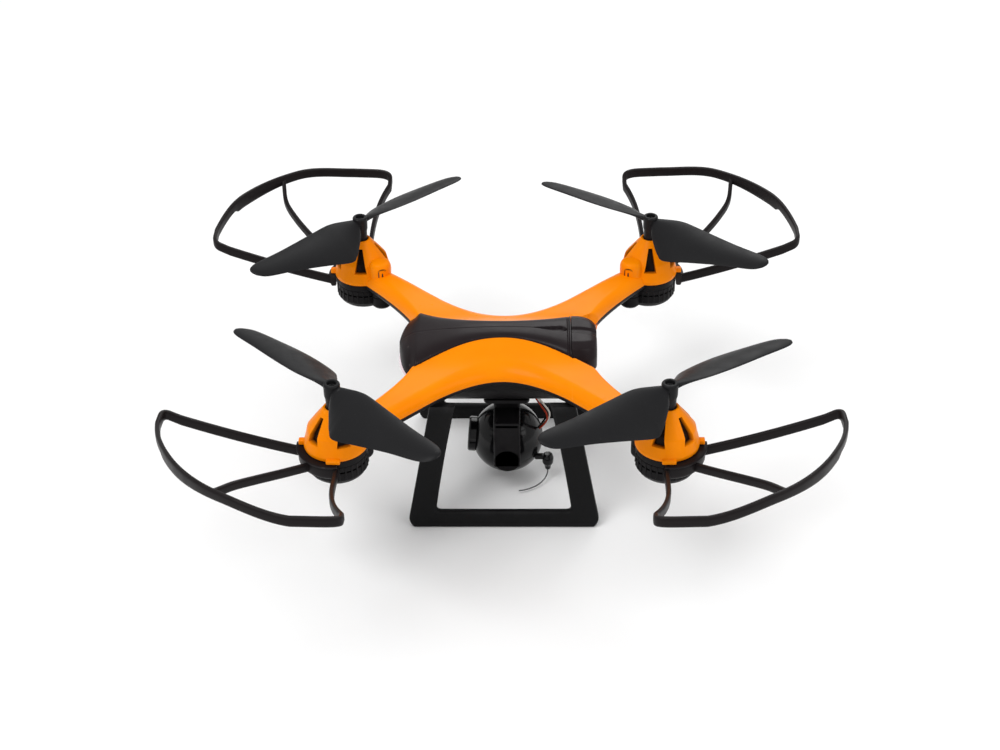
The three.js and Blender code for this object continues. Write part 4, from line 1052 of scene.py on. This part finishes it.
# %% Plug and the three wires
make_piece("lead_plug", [block(-20.2, -14, 3.4, 8.6, 54.9, 60, 0.5), block(-19.6, -14.6, 3.0, 3.5, 55.6, 58, 0.2)],
           "airframe", NYLON, ["camera_plug"])
LEAD_ROUTE = np.array([
    [-17, 6, 55.4], [-17.2, 6.1, 52.6], [-20.2, 7, 48], [-22.6, 7.2, 43.5], [-22.8, 6.6, 39], [-21, 5.7, 35],
    [-18.4, 5.2, 31.4]])
middle_line = smooth_path(LEAD_ROUTE, 60)
share = np.linspace(0, 1, 60)
for k, (name, finish) in enumerate(WIRE_FINISHES.items()):
    a = 2 * np.pi * (k / 3 + 0.35 * share)
    spread = 0.62 + 0.5 * np.sin(np.pi * share)
    drift = np.stack([spread * np.cos(a), spread * np.sin(a), 0 * a], 1)
    wire = make_piece(f"camera_wire_{name}", [sweep(middle_line + drift, circle(0.5), up=(0, 1, 0))], None, finish,
                      ["camera_lead"])
    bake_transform(wire)

# %% [markdown]
# ## Finishes for the CAD pieces that stay
# Screws, shafts, gears, bushes, motors and boards already have their true shape, so they only need a
# finish. They are mostly hidden, but turn up when the battery slides out or a rotor turns.

# %% Dress the CAD nodes
KEPT = {"prop_screw": BLACKENED, "rotor_shaft": STEEL, "motor": STEEL, "shaft_bush": BRASS, "pinion": BRASS,
        "main_gear": NYLON, "main_board": BOARD_GREEN, "camera_board": BOARD_GREEN, "battery_pack": WRAP_BLUE,
        "power_switch": BODY_BLACK}
for name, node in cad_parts.items():
    for start, finish in KEPT.items():
        if name.startswith(start) and not node.hide_render:
            node.data.materials.clear()
            node.data.materials.append(finish)

# %% [markdown]
# ## Studio
# A pale floor, a bright even sky and three soft lamps: the look of a catalogue table.

# %% Floor and light
floor_mesh = bpy.data.meshes.new("floor")
floor_mesh.from_pydata([(-4, -4, 0), (4, -4, 0), (4, 4, 0), (-4, 4, 0)], [], [(0, 1, 2, 3)])
floor = bpy.data.objects.new("floor", floor_mesh)
bpy.context.scene.collection.objects.link(floor)
paper = bpy.data.materials.new("studio paper")
paper.use_nodes = True
paper.node_tree.nodes["Principled BSDF"].inputs["Base Color"].default_value = (0.93, 0.93, 0.93, 1)
paper.node_tree.nodes["Principled BSDF"].inputs["Roughness"].default_value = 0.8
floor_mesh.materials.append(paper)

sky = bpy.data.worlds.new("studio sky")
bpy.context.scene.world = sky
sky.use_nodes = True
sky.node_tree.nodes["Background"].inputs["Color"].default_value = (1, 1, 1, 1)
sky.node_tree.nodes["Background"].inputs["Strength"].default_value = 0.7


def soft_lamp(name, place, target, size, power):
    data = bpy.data.lights.new(name, "AREA")
    data.shape = "DISK"
    data.size = size
    data.energy = power
    lamp = bpy.data.objects.new(name, data)
    bpy.context.scene.collection.objects.link(lamp)
    lamp.location = place
    lamp.rotation_euler = (Vector(target) - Vector(place)).to_track_quat("-Z", "Y").to_euler()


soft_lamp("key", (0.5, 0.5, 1.3), (0, 0, 0.05), 0.7, 8)
soft_lamp("fill", (-0.9, 0.6, 0.8), (0, 0, 0.05), 0.9, 3)
soft_lamp("back", (-0.2, -1.1, 0.9), (0, 0, 0.05), 0.8, 4.5)
bpy.context.scene.view_settings.view_transform = "Standard"

# %% Update the view layer
bpy.context.view_layer.update()
